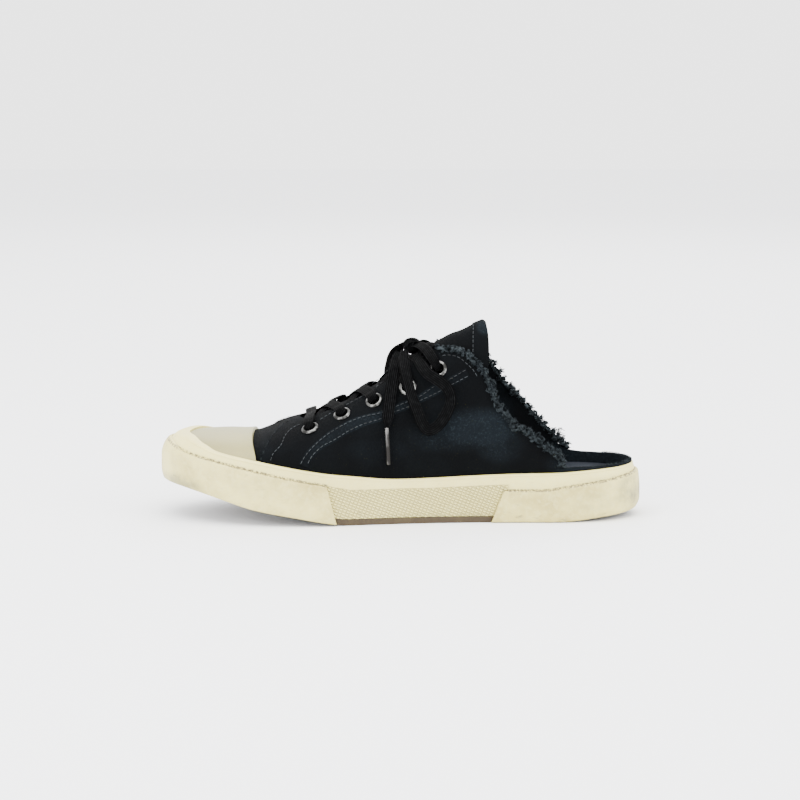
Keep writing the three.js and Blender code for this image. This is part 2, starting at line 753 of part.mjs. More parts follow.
function makeTongue() {
  const outer = -UPPER_WALL - TONGUE_CLEARANCE;
  const side = sidePoints(TONGUE_SIDE, 0);
  const hemFrom = Math.max(...side.map(([x]) => x)) - HEM_WIDTH;
  const hem = sideBlock([[hemFrom, 0], [BACK, 0], [BACK, TOP], [hemFrom, TOP]]);
  let inner = form(outer - TONGUE_THICKNESS, cutFloor);
  inner = inner.subtract(hem).add(form(outer - TONGUE_THICKNESS - HEM_STEP, cutFloor));
  return largest(form(outer, cutFloor).subtract(inner).intersect(sideBlock(side)));
}

// Eyelets: a flange on the canvas and a barrel through its wall, turned as one ring.
const FLANGE_SEAT = QUARTER_STEP + GAP;
const LACE_SEAT = FLANGE_SEAT + FLANGE_HEIGHT + LACE_LIFT + LACE_THICKNESS / 2;

function makeEyelet(row, side) {
  const bore = EYELET_BORE / 2;
  const barrel = EYELET_BARREL / 2;
  const flange = EYELET_FLANGE / 2;
  const low = GAP - UPPER_WALL;
  const profile = [
    [bore, low],
    [barrel, low],
    [barrel, FLANGE_SEAT],
    [flange, FLANGE_SEAT],
    [flange - FLANGE_HEIGHT / 2, FLANGE_SEAT + FLANGE_HEIGHT],
    [bore, FLANGE_SEAT + FLANGE_HEIGHT],
    [bore, low],
  ].map(([r, y]) => new THREE.Vector2(r, y));
  const eyelet = new THREE.LatheGeometry(profile, EYELET_FACETS);
  const place = onForm(row.along, side * row.across, 0);
  eyelet.applyQuaternion(new THREE.Quaternion().setFromUnitVectors(UP, place.normal));
  eyelet.translate(place.point.x, place.point.y, place.point.z);
  return toSolid(eyelet);
}

// A flat lace along a route. Each stop gives a point and the direction that the lace's face looks in.
function ribbon(stops, width, thickness) {
  const chamfer = thickness / 2;
  const outline = [
    [-width / 2, 0],
    [chamfer - width / 2, thickness / 2],
    [width / 2 - chamfer, thickness / 2],
    [width / 2, 0],
    [width / 2 - chamfer, -thickness / 2],
    [chamfer - width / 2, -thickness / 2],
  ];
  return loft(
    stops.map((stop, i) => {
      const before = stops[Math.max(i - 1, 0)].point;
      const after = stops[Math.min(i + 1, stops.length - 1)].point;
      const tangent = after.clone().sub(before).normalize();
      const side = tangent.clone().cross(stop.normal).normalize();
      const up = side.clone().cross(tangent);
      return outline.map(([s, n]) => stop.point.clone().addScaledVector(side, s).addScaledVector(up, n));
    }),
    false,
  );
}

// A route over the form: rows of place along, share across and height over the canvas, rounded off.
function laceOverForm(rows, steps) {
  const curve = new THREE.CatmullRomCurve3(rows.map(vector), false, "centripetal");
  const stops = curve.getPoints(steps).map((at) => onForm(at.x, at.y, at.z));
  return ribbon(stops, LACE_WIDTH, LACE_THICKNESS);
}

// The throat's edge on one side, as a share of the form's half width; beyond is more of the same outwards.
function throatEdge(along, side, beyond) {
  const lateral = formPoint(along, -1).y;
  const medial = formPoint(along, 1).y;
  const half = read(THROAT, "half", along) * halfWidth(along);
  const edge = THROAT_SHIFT + side * (half + beyond);
  return (edge - (lateral + medial) / 2) / ((medial - lateral) / 2);
}

const TONGUE_MARGIN = 1.1;
const ON_TONGUE = LACE_THICKNESS / 2 + TONGUE_MARGIN - UPPER_WALL - TONGUE_CLEARANCE;
const OVER_EDGE = QUARTER_STEP + GAP + LACE_THICKNESS;
const EDGE_MARGIN = 2.5;

function makeBar() {
  const { along, across } = EYELETS[0];
  const half = (side) => {
    const edge = throatEdge(along, side, EDGE_MARGIN);
    return [
      [along, side * across, LACE_SEAT],
      [along, (side * across + edge) / 2, LACE_SEAT],
      [along, edge, OVER_EDGE],
      [along, throatEdge(along, side, -EDGE_MARGIN), OVER_EDGE - LACE_THICKNESS / 2],
    ];
  };
  const middle = [along, throatEdge(along, 0, 0), ON_TONGUE + LACE_THICKNESS];
  return laceOverForm([...half(-1), middle, ...half(1).reverse()], BAR_STEPS);
}

// A crossing: each strand comes from under the facing quarter, crosses the tongue and enters its own eyelet.
const STRAND_SLANT = 0.016;

function makeCrossing(level) {
  const to = EYELETS[level];
  const from = EYELETS[level - 1];
  const middle = (from.along + to.along) / 2;
  const strand = (side) => {
    const outer = throatEdge(to.along, side, EDGE_MARGIN);
    const start = from.along + STRAND_SLANT;
    return laceOverForm(
      [
        [to.along, side * to.across, LACE_SEAT],
        [to.along - STRAND_SLANT / 4, (side * to.across + outer) / 2, LACE_SEAT],
        [to.along - STRAND_SLANT / 2, outer, OVER_EDGE],
        [to.along - STRAND_SLANT, throatEdge(to.along, side, -EDGE_MARGIN), OVER_EDGE - LACE_THICKNESS / 2],
        [middle, throatEdge(middle, 0, 0), ON_TONGUE + LACE_THICKNESS],
        [start, throatEdge(start, -side, -2 * EDGE_MARGIN), ON_TONGUE],
      ],
      CROSSING_STEPS,
    );
  };
  return strand(-1).add(strand(1));
}

// The last crossing stays under both quarters and comes out of the top eyelets from inside.
function makeLastCrossing() {
  const start = EYELETS[3].along + STRAND_SLANT;
  const end = EYELETS[4].along - STRAND_SLANT;
  const middle = (start + end) / 2;
  const strand = (side) =>
    laceOverForm(
      [
        [start, throatEdge(start, -side, -2 * EDGE_MARGIN), ON_TONGUE],
        [middle, throatEdge(middle, 0, 0), ON_TONGUE],
        [end, throatEdge(end, side, -2 * EDGE_MARGIN), ON_TONGUE],
      ],
      UNDER_STEPS,
    );
  return strand(-1).add(strand(1));
}

// The bow: its knot, loops and ends lie where they were tied, so their stops are chosen one by one.
const KNOT_AT = [7.5, 0, 106];
const STRAND_LATERAL = [
  [22.5, -26.8, 95.6],
  [20.6, -24.2, 99.6],
  [17, -18, 104.4],
  [12.5, -9.5, 107.2],
  [7.5, 0, 106],
];
const STRAND_MEDIAL = [
  [22.6, 23.4, 95.2],
  [20.6, 21, 99.4],
  [17, 15.6, 104.2],
  [12.5, 8.5, 107.2],
  [7.5, 0, 106],
];
const LOOP_LATERAL = [
  [2.6, -8, 103.4],
  [2, -15, 99.6],
  [3.2, -26, 92.2],
  [5, -31.4, 85.6],
  [6.8, -34.6, 79],
  [10.5, -36.6, 69.6],
  [13.5, -37.2, 62.2],
  [17.2, -37.2, 58.2],
  [23, -36.8, 61],
  [28.5, -35.6, 69],
  [31, -34.6, 77],
  [28.6, -34, 84],
  [22.8, -33, 88.8],
  [16.8, -30.6, 92.6],
  [12.4, -23.4, 97.6],
  [8.6, -13.4, 101.8],
];
const END_LATERAL = [
  [-0.8, -5.6, 102],
  [-2.2, -11.2, 98.8],
  [-3.8, -19.9, 93.6],
  [-5.4, -26.6, 84.6],
  [-6.6, -31.6, 75.6],
  [-7.6, -35, 67.2],
  [-8.3, -38.4, 59.6],
];
const LOOP_MEDIAL = [
  [3, 7.8, 105.6],
  [-1.8, 10.6, 102],
  [-4.8, 15.5, 96],
  [-6.2, 20.5, 90.4],
  [-7.2, 25.5, 85.2],
  [-7, 31, 79],
  [-5.5, 36, 72],
  [-1.5, 39.2, 65],
  [5.6, 39.4, 61.8],
  [12.6, 37, 66.6],
  [17, 33.8, 74.6],
  [18, 30.6, 83.6],
  [16.2, 26, 91.6],
  [13, 19, 98],
  [9.8, 11.2, 100.8],
];
const END_MEDIAL = [
  [3, 7.4, 99],
  [4, 14.6, 96.6],
  [4.6, 23, 91.6],
  [5, 29, 82.2],
  [5, 31.8, 73],
  [4.8, 32.9, 64.6],
  [4.4, 35, 57.8],
];
const AGLET_LEAN = 0.1;

function vector(list) {
  return new THREE.Vector3(...list);
}

// A loose lace: it hangs flat against the quarter and turns its face up towards the knot.
const HANGS_BELOW = 72;

function looseLace(points, steps) {
  const curve = new THREE.CatmullRomCurve3(points.map(vector), false, "centripetal");
  const stops = curve.getPoints(steps).map((point) => {
    const rise = (point.z - HANGS_BELOW) / (KNOT_AT[2] - HANGS_BELOW);
    const outward = new THREE.Vector3(0, Math.sign(point.y) || 1, Math.max(0, rise));
    return { point, normal: outward.normalize() };
  });
  return ribbon(stops, LACE_WIDTH, LACE_THICKNESS);
}

function makeKnot() {
  const ball = new THREE.SphereGeometry(1 / 2, KNOT_FACETS, KNOT_FACETS / 2 + 1);
  ball.scale(KNOT_SIZE.x, KNOT_SIZE.y, KNOT_SIZE.z);
  ball.translate(...KNOT_AT);
  let body = toSolid(ball);
  for (const strand of [STRAND_LATERAL, STRAND_MEDIAL]) body = body.add(looseLace(strand, STRAND_STEPS));
  return body;
}

function makeAglet(points) {
  const end = vector(points[points.length - 1]);
  const outward = Math.sign(end.y) * AGLET_LEAN;
  const down = new THREE.Vector3(AGLET_LEAN / 2, outward, -1).normalize();
  const radius = AGLET_DIAMETER / 2;
  const aglet = new THREE.CylinderGeometry(radius, radius, AGLET_LENGTH, AGLET_FACETS);
  aglet.applyQuaternion(new THREE.Quaternion().setFromUnitVectors(new THREE.Vector3(0, -1, 0), down));
  end.addScaledVector(down, GAP + LACE_THICKNESS / 2 + AGLET_LENGTH / 2);
  aglet.translate(end.x, end.y, end.z);
  return toSolid(aglet);
}

// The torn canvas edge of a quarter: a soft roll of loose threads with tufts fused onto it.
// The waves make the roll swell and the tufts lean this way and that.
const FRAY_SWELL = 0.15;
const FRAY_WAVE = 2.3;
const TUFT_WAVE = 1.7;
const TUFT_SWING = 0.3;
const TUFT_OUTWARD = 0.25;

function makeFray(side) {
  const sign = side === "lateral" ? -1 : 1;
  const rows = COLLAR.slice(0, -2);
  const edge = new THREE.SplineCurve(
    rows.map((row) => new THREE.Vector2(stationX(row.along), row[side] * INSTEP_CREST)),
  );
  const stops = [];
  for (let k = 0; k <= FRAY_STEPS; k++) {
    const at = edge.getPointAt(k / FRAY_STEPS);
    const slope = edge.getTangentAt(k / FRAY_STEPS);
    const away = new THREE.Vector2(-slope.y, slope.x);
    at.addScaledVector(away, FRAY_LIFT + FRAY_WIDTH / 2);
    const along = alongOf(at.x);
    const shoulder = read(FORM, "shoulder", along) * crest(along);
    const lift = THREE.MathUtils.clamp((at.y - shoulder) / (crest(along) - shoulder), 0, 1);
    const sine = lift ** (1 / read(FORM, "top", along));
    const share = Math.sqrt(1 - sine * sine) ** read(FORM, "side", along);
    const place = onForm(along, sign * share, (QUARTER_STEP - UPPER_WALL) / 2);
    place.point.z = at.y;
    stops.push({ ...place, away: new THREE.Vector3(away.x, 0, away.y) });
  }
  const sections = stops.map((stop, k) => {
    const swell = (1 - FRAY_SWELL + FRAY_SWELL * Math.sin(k * FRAY_WAVE)) / 2;
    const section = [];
    for (let f = 0; f < FRAY_FACETS; f++) {
      const angle = (f / FRAY_FACETS) * 2 * Math.PI;
      const point = stop.point.clone();
      point.addScaledVector(stop.away, Math.sin(angle) * swell * FRAY_WIDTH);
      point.addScaledVector(stop.normal, Math.cos(angle) * swell * FRAY_THICKNESS);
      section.push(point);
    }
    return section;
  });
  let body = loft(sections, false);
  for (let k = 1; k < FRAY_STEPS; k += 2) {
    const { point, away, normal } = stops[k];
    const swing = new THREE.Vector3(Math.sin(k * TUFT_WAVE), 0, Math.cos(k * TUFT_WAVE));
    const pull = away.clone().addScaledVector(swing, TUFT_SWING).addScaledVector(normal, TUFT_OUTWARD);
    pull.normalize();
    const tuft = new THREE.CylinderGeometry(0, TUFT_WIDTH / 2, TUFT_LENGTH, TUFT_FACETS);
    tuft.applyQuaternion(new THREE.Quaternion().setFromUnitVectors(UP, pull));
    const middle = point.clone().addScaledVector(pull, TUFT_LENGTH / 2);
    tuft.translate(middle.x, middle.y, middle.z);
    body = body.add(toSolid(tuft));
  }
  return body;
}

const CREAM = 0xe1dbbe;
const CANVAS = 0x1a1c1e;
const GUM = 0x846b4c;
const STEEL = 0xb4b4b2;
const LACE = 0x121212;
const FADED = 0x506068;
const group = new THREE.Group();

function addPiece(name, solid, color, roughness, metalness = 0) {
  const material = new THREE.MeshStandardMaterial({ color, roughness, metalness });
  const mesh = new THREE.Mesh(toGeometry(solid), material);
  mesh.name = name;
  group.add(mesh);
}

addPiece("outsole", makeOutsole(), GUM, 0.8);
addPiece("midsole", makeMidsole(), CREAM, 0.8);
addPiece("insole", makeInsole(), CANVAS, 0.9);
addPiece("foxing", makeFoxing(), CREAM, 0.55);
addPiece("toe_bumper", makeToeBumper(), CREAM, 0.6);
addPiece("heel_bumper", makeHeelBumper(), CREAM, 0.6);
addPiece("upper", makeUpper(), CANVAS, 0.95);
addPiece("toe_cap", makeToeCap(), CREAM, 0.5);
addPiece("tongue", makeTongue(), CANVAS, 0.95);
EYELETS.forEach((row, i) => {
  addPiece(`eyelet_lateral_${i + 1}`, makeEyelet(row, -1), STEEL, 0.3, 1);
  addPiece(`eyelet_medial_${i + 1}`, makeEyelet(row, 1), STEEL, 0.3, 1);
});
addPiece("lace_bar", makeBar(), LACE, 0.9);
for (const level of [1, 2, 3]) addPiece(`lace_crossing_${level}`, makeCrossing(level), LACE, 0.9);
addPiece("lace_crossing_4", makeLastCrossing(), LACE, 0.9);
addPiece("lace_knot", makeKnot(), LACE, 0.9);
addPiece("lace_loop_lateral", looseLace(LOOP_LATERAL, LOOP_STEPS), LACE, 0.9);
addPiece("lace_loop_medial", looseLace(LOOP_MEDIAL, LOOP_STEPS), LACE, 0.9);
addPiece("lace_end_lateral", looseLace(END_LATERAL, END_STEPS), LACE, 0.9);
addPiece("lace_end_medial", looseLace(END_MEDIAL, END_STEPS), LACE, 0.9);
addPiece("aglet_lateral", makeAglet(END_LATERAL), STEEL, 0.3, 1);
addPiece("aglet_medial", makeAglet(END_MEDIAL), STEEL, 0.3, 1);
addPiece("frayed_edge_lateral", makeFray("lateral"), FADED, 1);
addPiece("frayed_edge_medial", makeFray("medial"), FADED, 1);

export default group;
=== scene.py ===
"""A left canvas sneaker cut down to a mule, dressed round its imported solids.

Metres, +Z up, the toe to -X and the lateral side to -Y, with the floor at Z = 0."""

import math

import bpy
import numpy as np
from mathutils import Matrix, Vector
from mathutils.bvhtree import BVHTree


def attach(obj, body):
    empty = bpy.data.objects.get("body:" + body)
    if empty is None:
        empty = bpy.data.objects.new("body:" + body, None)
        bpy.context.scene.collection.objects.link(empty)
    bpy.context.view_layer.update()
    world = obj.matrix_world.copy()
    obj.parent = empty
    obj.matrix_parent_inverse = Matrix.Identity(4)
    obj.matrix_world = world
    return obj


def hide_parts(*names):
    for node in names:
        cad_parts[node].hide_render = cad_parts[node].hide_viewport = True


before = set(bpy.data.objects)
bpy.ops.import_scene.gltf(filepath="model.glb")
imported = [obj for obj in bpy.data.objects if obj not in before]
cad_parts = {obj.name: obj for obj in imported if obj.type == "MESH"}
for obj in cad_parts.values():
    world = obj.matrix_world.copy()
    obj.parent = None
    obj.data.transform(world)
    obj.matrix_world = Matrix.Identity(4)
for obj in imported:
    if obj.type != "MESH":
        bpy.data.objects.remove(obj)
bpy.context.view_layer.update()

# The photographer's corner: a white sweep of paper, a long lens level with the ankle and three soft
# boxes, one over the shoe and one to each side, so that the shade under the sole stays pale.
MM = 0.001
AIM = Vector((-0.00025, 0, 0.0714))
CAMERA_AT = Vector((-0.00025, -1.854, 0.3485))
LENS_MM = 135
PAPER_SIZE = 6

bpy.ops.object.select_all(action="DESELECT")
bpy.ops.object.camera_add(location=CAMERA_AT)
camera = bpy.context.object
camera.name = "camera"
camera.data.lens = LENS_MM
camera.data.sensor_width = 36
camera.rotation_euler = (AIM - CAMERA_AT).to_track_quat("-Z", "Y").to_euler()
bpy.context.scene.camera = camera

bpy.ops.mesh.primitive_plane_add(size=PAPER_SIZE)
paper = bpy.context.object
paper.name = "paper"

SOFT_BOXES = [
    {"name": "box_over", "at": (-0.15, -0.35, 1.5), "size": 1.5, "watts": 40},
    {"name": "box_toe_side", "at": (-1.3, -1.3, 0.75), "size": 1.0, "watts": 26},
    {"name": "box_heel_side", "at": (1.4, -0.9, 0.8), "size": 1.0, "watts": 17},
    {"name": "box_behind", "at": (0.2, 1.5, 1.1), "size": 1.2, "watts": 14},
]
for box in SOFT_BOXES:
    bpy.ops.object.light_add(type="AREA", location=box["at"])
    light = bpy.context.object
    light.name = box["name"]
    light.data.size = box["size"]
    light.data.energy = box["watts"]
    light.rotation_euler = (AIM - Vector(box["at"])).to_track_quat("-Z", "Y").to_euler()

world = bpy.data.worlds.new("studio")
world.use_nodes = True
world.node_tree.nodes["Background"].inputs["Color"].default_value = (1, 1, 1, 1)
world.node_tree.nodes["Background"].inputs["Strength"].default_value = 3.2
bpy.context.scene.world = world


class Wire:
    """A socket that can be added and multiplied as a number is."""

    def __init__(self, finish, socket):
        self.finish = finish
        self.socket = socket

    def sum_of(self, operation, first, second):
        return self.finish.node("ShaderNodeMath", {0: first, 1: second}, operation=operation)

    def __add__(self, other):
        return self.sum_of("ADD", self, other)

    def __radd__(self, other):
        return self.sum_of("ADD", other, self)

    def __sub__(self, other):
        return self.sum_of("SUBTRACT", self, other)

    def __rsub__(self, other):
        return self.sum_of("SUBTRACT", other, self)

    def __mul__(self, other):
        return self.sum_of("MULTIPLY", self, other)

    def __rmul__(self, other):
        return self.sum_of("MULTIPLY", other, self)

    def sine(self):
        return self.sum_of("SINE", self, 0)

    def size(self):
        return self.sum_of("ABSOLUTE", self, 0)

    def least(self, other):
        return self.sum_of("MINIMUM", self, other)

    def most(self, other):
        return self.sum_of("MAXIMUM", self, other)

    def fade(self, low, high):
        """0 below low, 1 above high and a soft change between."""
        sockets = {0: self, 1: low, 2: high, 3: 0, 4: 1}
        return self.finish.node("ShaderNodeMapRange", sockets, interpolation_type="SMOOTHSTEP")


class Finish:
    """One material: its shader's fixed numbers, and the nodes that vary the rest."""

    def __init__(self, name, **fixed):
        self.material = bpy.data.materials.new(name)
        self.material.use_nodes = True
        self.tree = self.material.node_tree
        self.shader = self.tree.nodes["Principled BSDF"]
        for socket, value in fixed.items():
            self.shader.inputs[socket.replace("_", " ")].default_value = value

    def node(self, kind, sockets, out=0, **settings):
        node = self.tree.nodes.new(kind)
        for key, value in settings.items():
            setattr(node, key, value)
        for key, value in sockets.items():
            if isinstance(value, Wire):
                self.tree.links.new(value.socket, node.inputs[key])
            elif isinstance(value, tuple) and node.inputs[key].type == "RGBA":
                node.inputs[key].default_value = (*value, 1)
            else:
                node.inputs[key].default_value = value
        return Wire(self, node.outputs[out])

    def place(self, kind="Object"):
        """The three axes of the place on the piece, or of its own UV map."""
        vector = self.node("ShaderNodeTexCoord", {}, out=kind)
        axes = [self.node("ShaderNodeSeparateXYZ", {0: vector}, out=axis) for axis in (0, 1, 2)]
        return vector, axes

    def noise(self, vector, scale, detail=3, roughness=0.5, stretch=None):
        if stretch:
            vector = self.node("ShaderNodeMapping", {0: vector, 3: stretch})
        sockets = {"Vector": vector, "Scale": scale, "Detail": detail, "Roughness": roughness}
        return self.node("ShaderNodeTexNoise", sockets)

    def blend(self, share, first, second):
        return self.node("ShaderNodeMix", {0: share, 6: first, 7: second}, out=2, data_type="RGBA")

    def spot(self, axes, centre, reach):
        """1 at a centre, falling softly to 0 at its reach along each axis."""
        total = 0
        for axis, middle, far in zip(axes, centre, reach):
            if far:
                off = (axis - middle) * (1 / far)
                total = off * off + total
        return (1 - total).most(0).fade(0, 1)

    def spots(self, axes, patches):
        """The sum of many spots; each patch is a centre, a reach and a strength."""
        total = 0
        for centre, reach, strength in patches:
            total = self.spot(axes, centre, reach) * strength + total
        return total

    def feed(self, **wires):
        for socket, wire in wires.items():
            self.tree.links.new(wire.socket, self.shader.inputs[socket.replace("_", " ")])

    def relief(self, height, depth, strength=1.0):
        bump = self.node("ShaderNodeBump", {"Height": height, "Distance": depth, "Strength": strength})
        self.feed(Normal=bump)


PAPER_WHITE = (0.9, 0.905, 0.92)
paper_finish = Finish("studio_paper", Roughness=0.9)
paper_place, _ = paper_finish.place()
paper_tooth = paper_finish.noise(paper_place, 260, detail=2)
paper_finish.feed(Base_Color=paper_finish.blend(paper_tooth, PAPER_WHITE, (0.91, 0.915, 0.93)))
paper.data.materials.append(paper_finish.material)

# The last that the shoe is built round. Its plan and its sections give every piece its place, so the
# numbers are the maker's own: shares of the length, the two widths and the two crest heights.
LENGTH = 300 * MM
BALL_WIDTH = 105 * MM
HEEL_WIDTH = 74 * MM
TOE_SPRING = 22.5 * MM
HEEL_LIFT = 4 * MM
RIM_AT_TOE = 51.2 * MM
RIM_AT_WAIST = 28 * MM
RIM_AT_HEEL = 33.5 * MM
TOE_CREST = 50 * MM
INSTEP_CREST = 124.5 * MM
GAP = 0.3 * MM
OUTSOLE_THICKNESS = 4 * MM
MIDSOLE_AT_BALL = 8 * MM
MIDSOLE_AT_HEEL = 19.5 * MM
FOXING_THICKNESS = 3.5 * MM
BUMPER_THICKNESS = 1.7 * MM
BUMPER_SKIN = BUMPER_THICKNESS + GAP
FORM_INSET = BUMPER_SKIN + FOXING_THICKNESS + GAP
TUCK_HEIGHT = 7 * MM
SIDE_STATIONS = 130
WELD = 0.02 * MM
CROWDING = 0.4

PLAN_ALONG = [
    *(0, 0.01, 0.04, 0.093, 0.167, 0.25, 0.333, 0.417, 0.5, 0.583, 0.667, 0.75, 0.833, 0.907),
    *(0.96, 0.99),
]
PLAN = {
    "along": PLAN_ALONG + [1] + PLAN_ALONG[:0:-1],
    "across": [
        *(0.11, -0.17, -0.48, -0.73, -0.9, -0.97, -0.96, -0.92, -0.89, -0.9, -0.94, -0.98, -1, -0.92),
        *(-0.68, -0.34, 0, 0.34, 0.68, 0.9, 0.97, 0.92, 0.85, 0.81, 0.84, 0.91, 0.98, 1.01, 0.97, 0.84),
        *(0.62, 0.36),
    ],
}
SOLE = {
    "along": [0, 0.043, 0.083, 0.123, 0.207, 0.295, 0.355, 0.4, 0.5, 0.707, 0.835, 0.917, 1],
    "spring": [0.97, 0.94, 0.845, 0.73, 0.43, 0.22, 0.07, 0, 0, 0, 0, 0, 0],
    "lift": [0, 0, 0, 0, 0, 0, 0, 0, 0, 0, 0, 0.5, 1],
    "toe": [1, 1, 0.89, 0.73, 0.53, 0.32, 0.19, 0.12, 0, 0, 0, 0, 0],
    "waist": [0, 0, 0.11, 0.27, 0.47, 0.68, 0.81, 0.88, 1, 0.64, 0.45, 0.16, 0],
    "heel": [0, 0, 0, 0, 0, 0, 0, 0, 0, 0.36, 0.55, 0.84, 1],
    "lean": [12.5, 9, 4, 2.2, 1.2, 0.8, 0.6, 0.6, 0.6, 1, 2, 3.2, 4],
    "rise": [15, 13, 9, 7, 6, 6, 6, 6, 6, 8, 12, 16, 18],
    "tuck": [1.4, 1.8, 2.5, 2, 1.4, 1, 0.8, 0.8, 0.8, 1.2, 2, 3.5, 2.8],
}
FORM = {
    "along": [
        *(0, 0.02, 0.033, 0.05, 0.07, 0.13, 0.19, 0.233, 0.27, 0.312, 0.345, 0.395, 0.445, 0.493, 0.557),
        *(0.595, 0.633, 0.67, 0.72, 0.8, 0.9, 1),
    ],
    "toe": [
        *(0.86, 0.9, 0.935, 0.965, 0.985, 1, 1.01, 0.94, 0.85, 0.7, 0.62, 0.5, 0.38, 0.25, 0.1, 0.05),
        *(0, 0, 0, 0, 0, 0),
    ],
    "instep": [
        *(0, 0, 0, 0, 0, 0, 0, 0.065, 0.134, 0.222, 0.29, 0.393, 0.506, 0.64, 0.82, 0.9, 0.96, 1, 1),
        *(0.92, 0.8, 0.7),
    ],
    "shoulder": [
        *(0.92, 0.89, 0.86, 0.83, 0.81, 0.77, 0.68, 0.6, 0.56, 0.53, 0.48, 0.42, 0.37, 0.34, 0.3, 0.29),
        *(0.29, 0.3, 0.31, 0.35, 0.4, 0.45),
    ],
    "side": [
        *(0.85, 0.85, 0.85, 0.85, 0.85, 0.85, 0.88, 0.92, 0.96, 1, 1, 1, 1, 1, 1, 1, 1, 0.95, 0.9),
        *(0.85, 0.8, 0.8),
    ],
    "top": [
        *(0.7, 0.7, 0.7, 0.7, 0.72, 0.75, 0.78, 0.85, 0.9, 0.9, 0.85, 0.82, 0.8, 0.8, 0.8, 0.8, 0.8),
        *(0.8, 0.75, 0.7, 0.65, 0.6),
    ],
}


def smooth_stretch(t, start, leave, end, reach):
    """A cubic stretch from start to end, with the slopes that it leaves and reaches them by."""
    t2, t3 = t * t, t * t * t
    from_start = (2 * t3 - 3 * t2 + 1) * start + (t3 - 2 * t2 + t) * leave
    return from_start + (3 * t2 - 2 * t3) * end + (t3 - t2) * reach


def read(table, column, along):
    """A column of a table at places along the shoe, smoothly between its rows."""
    xs = np.array(table["along"], float)
    ys = np.array(table[column], float)
    a = np.clip(np.searchsorted(xs, along, side="left") - 1, 0, len(xs) - 2)
    b = a + 1
    before = np.maximum(a - 1, 0)
    after = np.minimum(b + 1, len(xs) - 1)
    span = xs[b] - xs[a]
    t = np.clip((along - xs[a]) / span, 0, 1)
    leave = (ys[b] - ys[before]) / (xs[b] - xs[before]) * span
    reach = (ys[after] - ys[a]) / (xs[after] - xs[a]) * span
    return smooth_stretch(t, ys[a], leave, ys[b], reach)


def soft_step(x, low, high):
    t = np.clip((x - low) / (high - low), 0, 1)
    return t * t * (3 - 2 * t)


def smooth_line(points, steps, closed=False):
    """A smooth line through points, with so many steps to each stretch."""
    p = np.asarray(points, float)
    if closed:
        p = np.vstack([p[-1:], p, p[:2]])
    else:
        p = np.vstack([2 * p[0] - p[1], p, 2 * p[-1] - p[-2]])
    gaps = np.linalg.norm(np.diff(p, axis=0), axis=1) ** 0.5
    t = np.linspace(0, 1, steps, endpoint=False)[:, None]
    line = []
    for k in range(1, len(p) - 2):
        g0, g1, g2 = gaps[k - 1 : k + 2]
        leave = ((p[k] - p[k - 1]) / g0 - (p[k + 1] - p[k - 1]) / (g0 + g1) + (p[k + 1] - p[k]) / g1) * g1
        reach = ((p[k + 1] - p[k]) / g1 - (p[k + 2] - p[k]) / (g1 + g2) + (p[k + 2] - p[k + 1]) / g2) * g1
        line.append(smooth_stretch(t, p[k], leave, p[k + 1], reach))
    line = np.vstack(line)
    return line if closed else np.vstack([line, p[-2]])


def run_along(line):
    """How far along a line each of its points lies."""
    return np.concatenate([[0], np.cumsum(np.linalg.norm(np.diff(line, axis=0), axis=1))])


def paced(line, count):
    """The same line with so many points at even spaces."""
    run = run_along(line)
    goals = np.linspace(0, run[-1], count)
    return np.column_stack([np.interp(goals, run, line[:, axis]) for axis in range(line.shape[1])])


def side_line(table, column="height", rows=slice(None)):
    """A table's line in the side view, in metres: how far along, and how high above the floor."""
    along, height = np.array(table["along"][rows]), np.array(table[column][rows])
    return np.column_stack([(along - 0.5) * LENGTH, height * INSTEP_CREST])


def half_width(along):
    return (BALL_WIDTH + (HEEL_WIDTH - BALL_WIDTH) * soft_step(along, 0.3, 0.8)) / 2


def make_plan():
    along = np.array(PLAN["along"])
    half = half_width(along)
    steps = 40
    corners = np.column_stack([(along - 0.5) * LENGTH, half * PLAN["across"]])
    outline = smooth_line(corners, steps, closed=True)
    heel = len(PLAN_ALONG) * steps
    sides = [outline[: heel + 1], np.vstack([outline[heel:], outline[:1]])]
    points = []
    for side in sides:
        run = run_along(side)
        share = np.arange(SIDE_STATIONS) / SIDE_STATIONS
        goals = run[-1] * (share - CROWDING * np.sin(2 * np.pi * share) / (2 * np.pi))
        points.append(np.column_stack([np.interp(goals, run, side[:, axis]) for axis in (0, 1)]))
    return np.vstack(points)


plan = make_plan()
plan_way = np.roll(plan, -1, axis=0) - np.roll(plan, 1, axis=0)
plan_way /= np.linalg.norm(plan_way, axis=1)[:, None]
plan_inward = np.column_stack([-plan_way[:, 1], plan_way[:, 0]])
facing = (len(plan) - np.arange(len(plan))) % len(plan)
plan_along = (plan[:, 0] + plan[facing, 0]) / 2 / LENGTH + 0.5
plan_run = run_along(np.vstack([plan, plan[:1]]))


def sole_bottom(along):
    return np.maximum(0, read(SOLE, "spring", along) * TOE_SPRING + read(SOLE, "lift", along) * HEEL_LIFT)


def rim(along):
    toe = read(SOLE, "toe", along) * RIM_AT_TOE
    return toe + read(SOLE, "waist", along) * RIM_AT_WAIST + read(SOLE, "heel", along) * RIM_AT_HEEL


def skin(along, z):
    """How far the foxing's outer face lies inside the plan's outline at a height."""
    rise = read(SOLE, "rise", along) * MM
    low = np.clip((z - sole_bottom(along)) / TUCK_HEIGHT, 0, 1)
    high = np.clip((z - rim(along) + rise) / rise, 0, 1)
    tucked = read(SOLE, "tuck", along) * MM * (1 - np.sin(low * np.pi / 2))
    return BUMPER_SKIN + tucked + read(SOLE, "lean", along) * MM * (1 - np.sqrt(1 - high * high))


def feather(along):
    midsole = MIDSOLE_AT_BALL + (MIDSOLE_AT_HEEL - MIDSOLE_AT_BALL) * soft_step(along, 0.3, 0.75)
    return sole_bottom(along) - read(SOLE, "lift", along) * HEEL_LIFT + OUTSOLE_THICKNESS + GAP + midsole


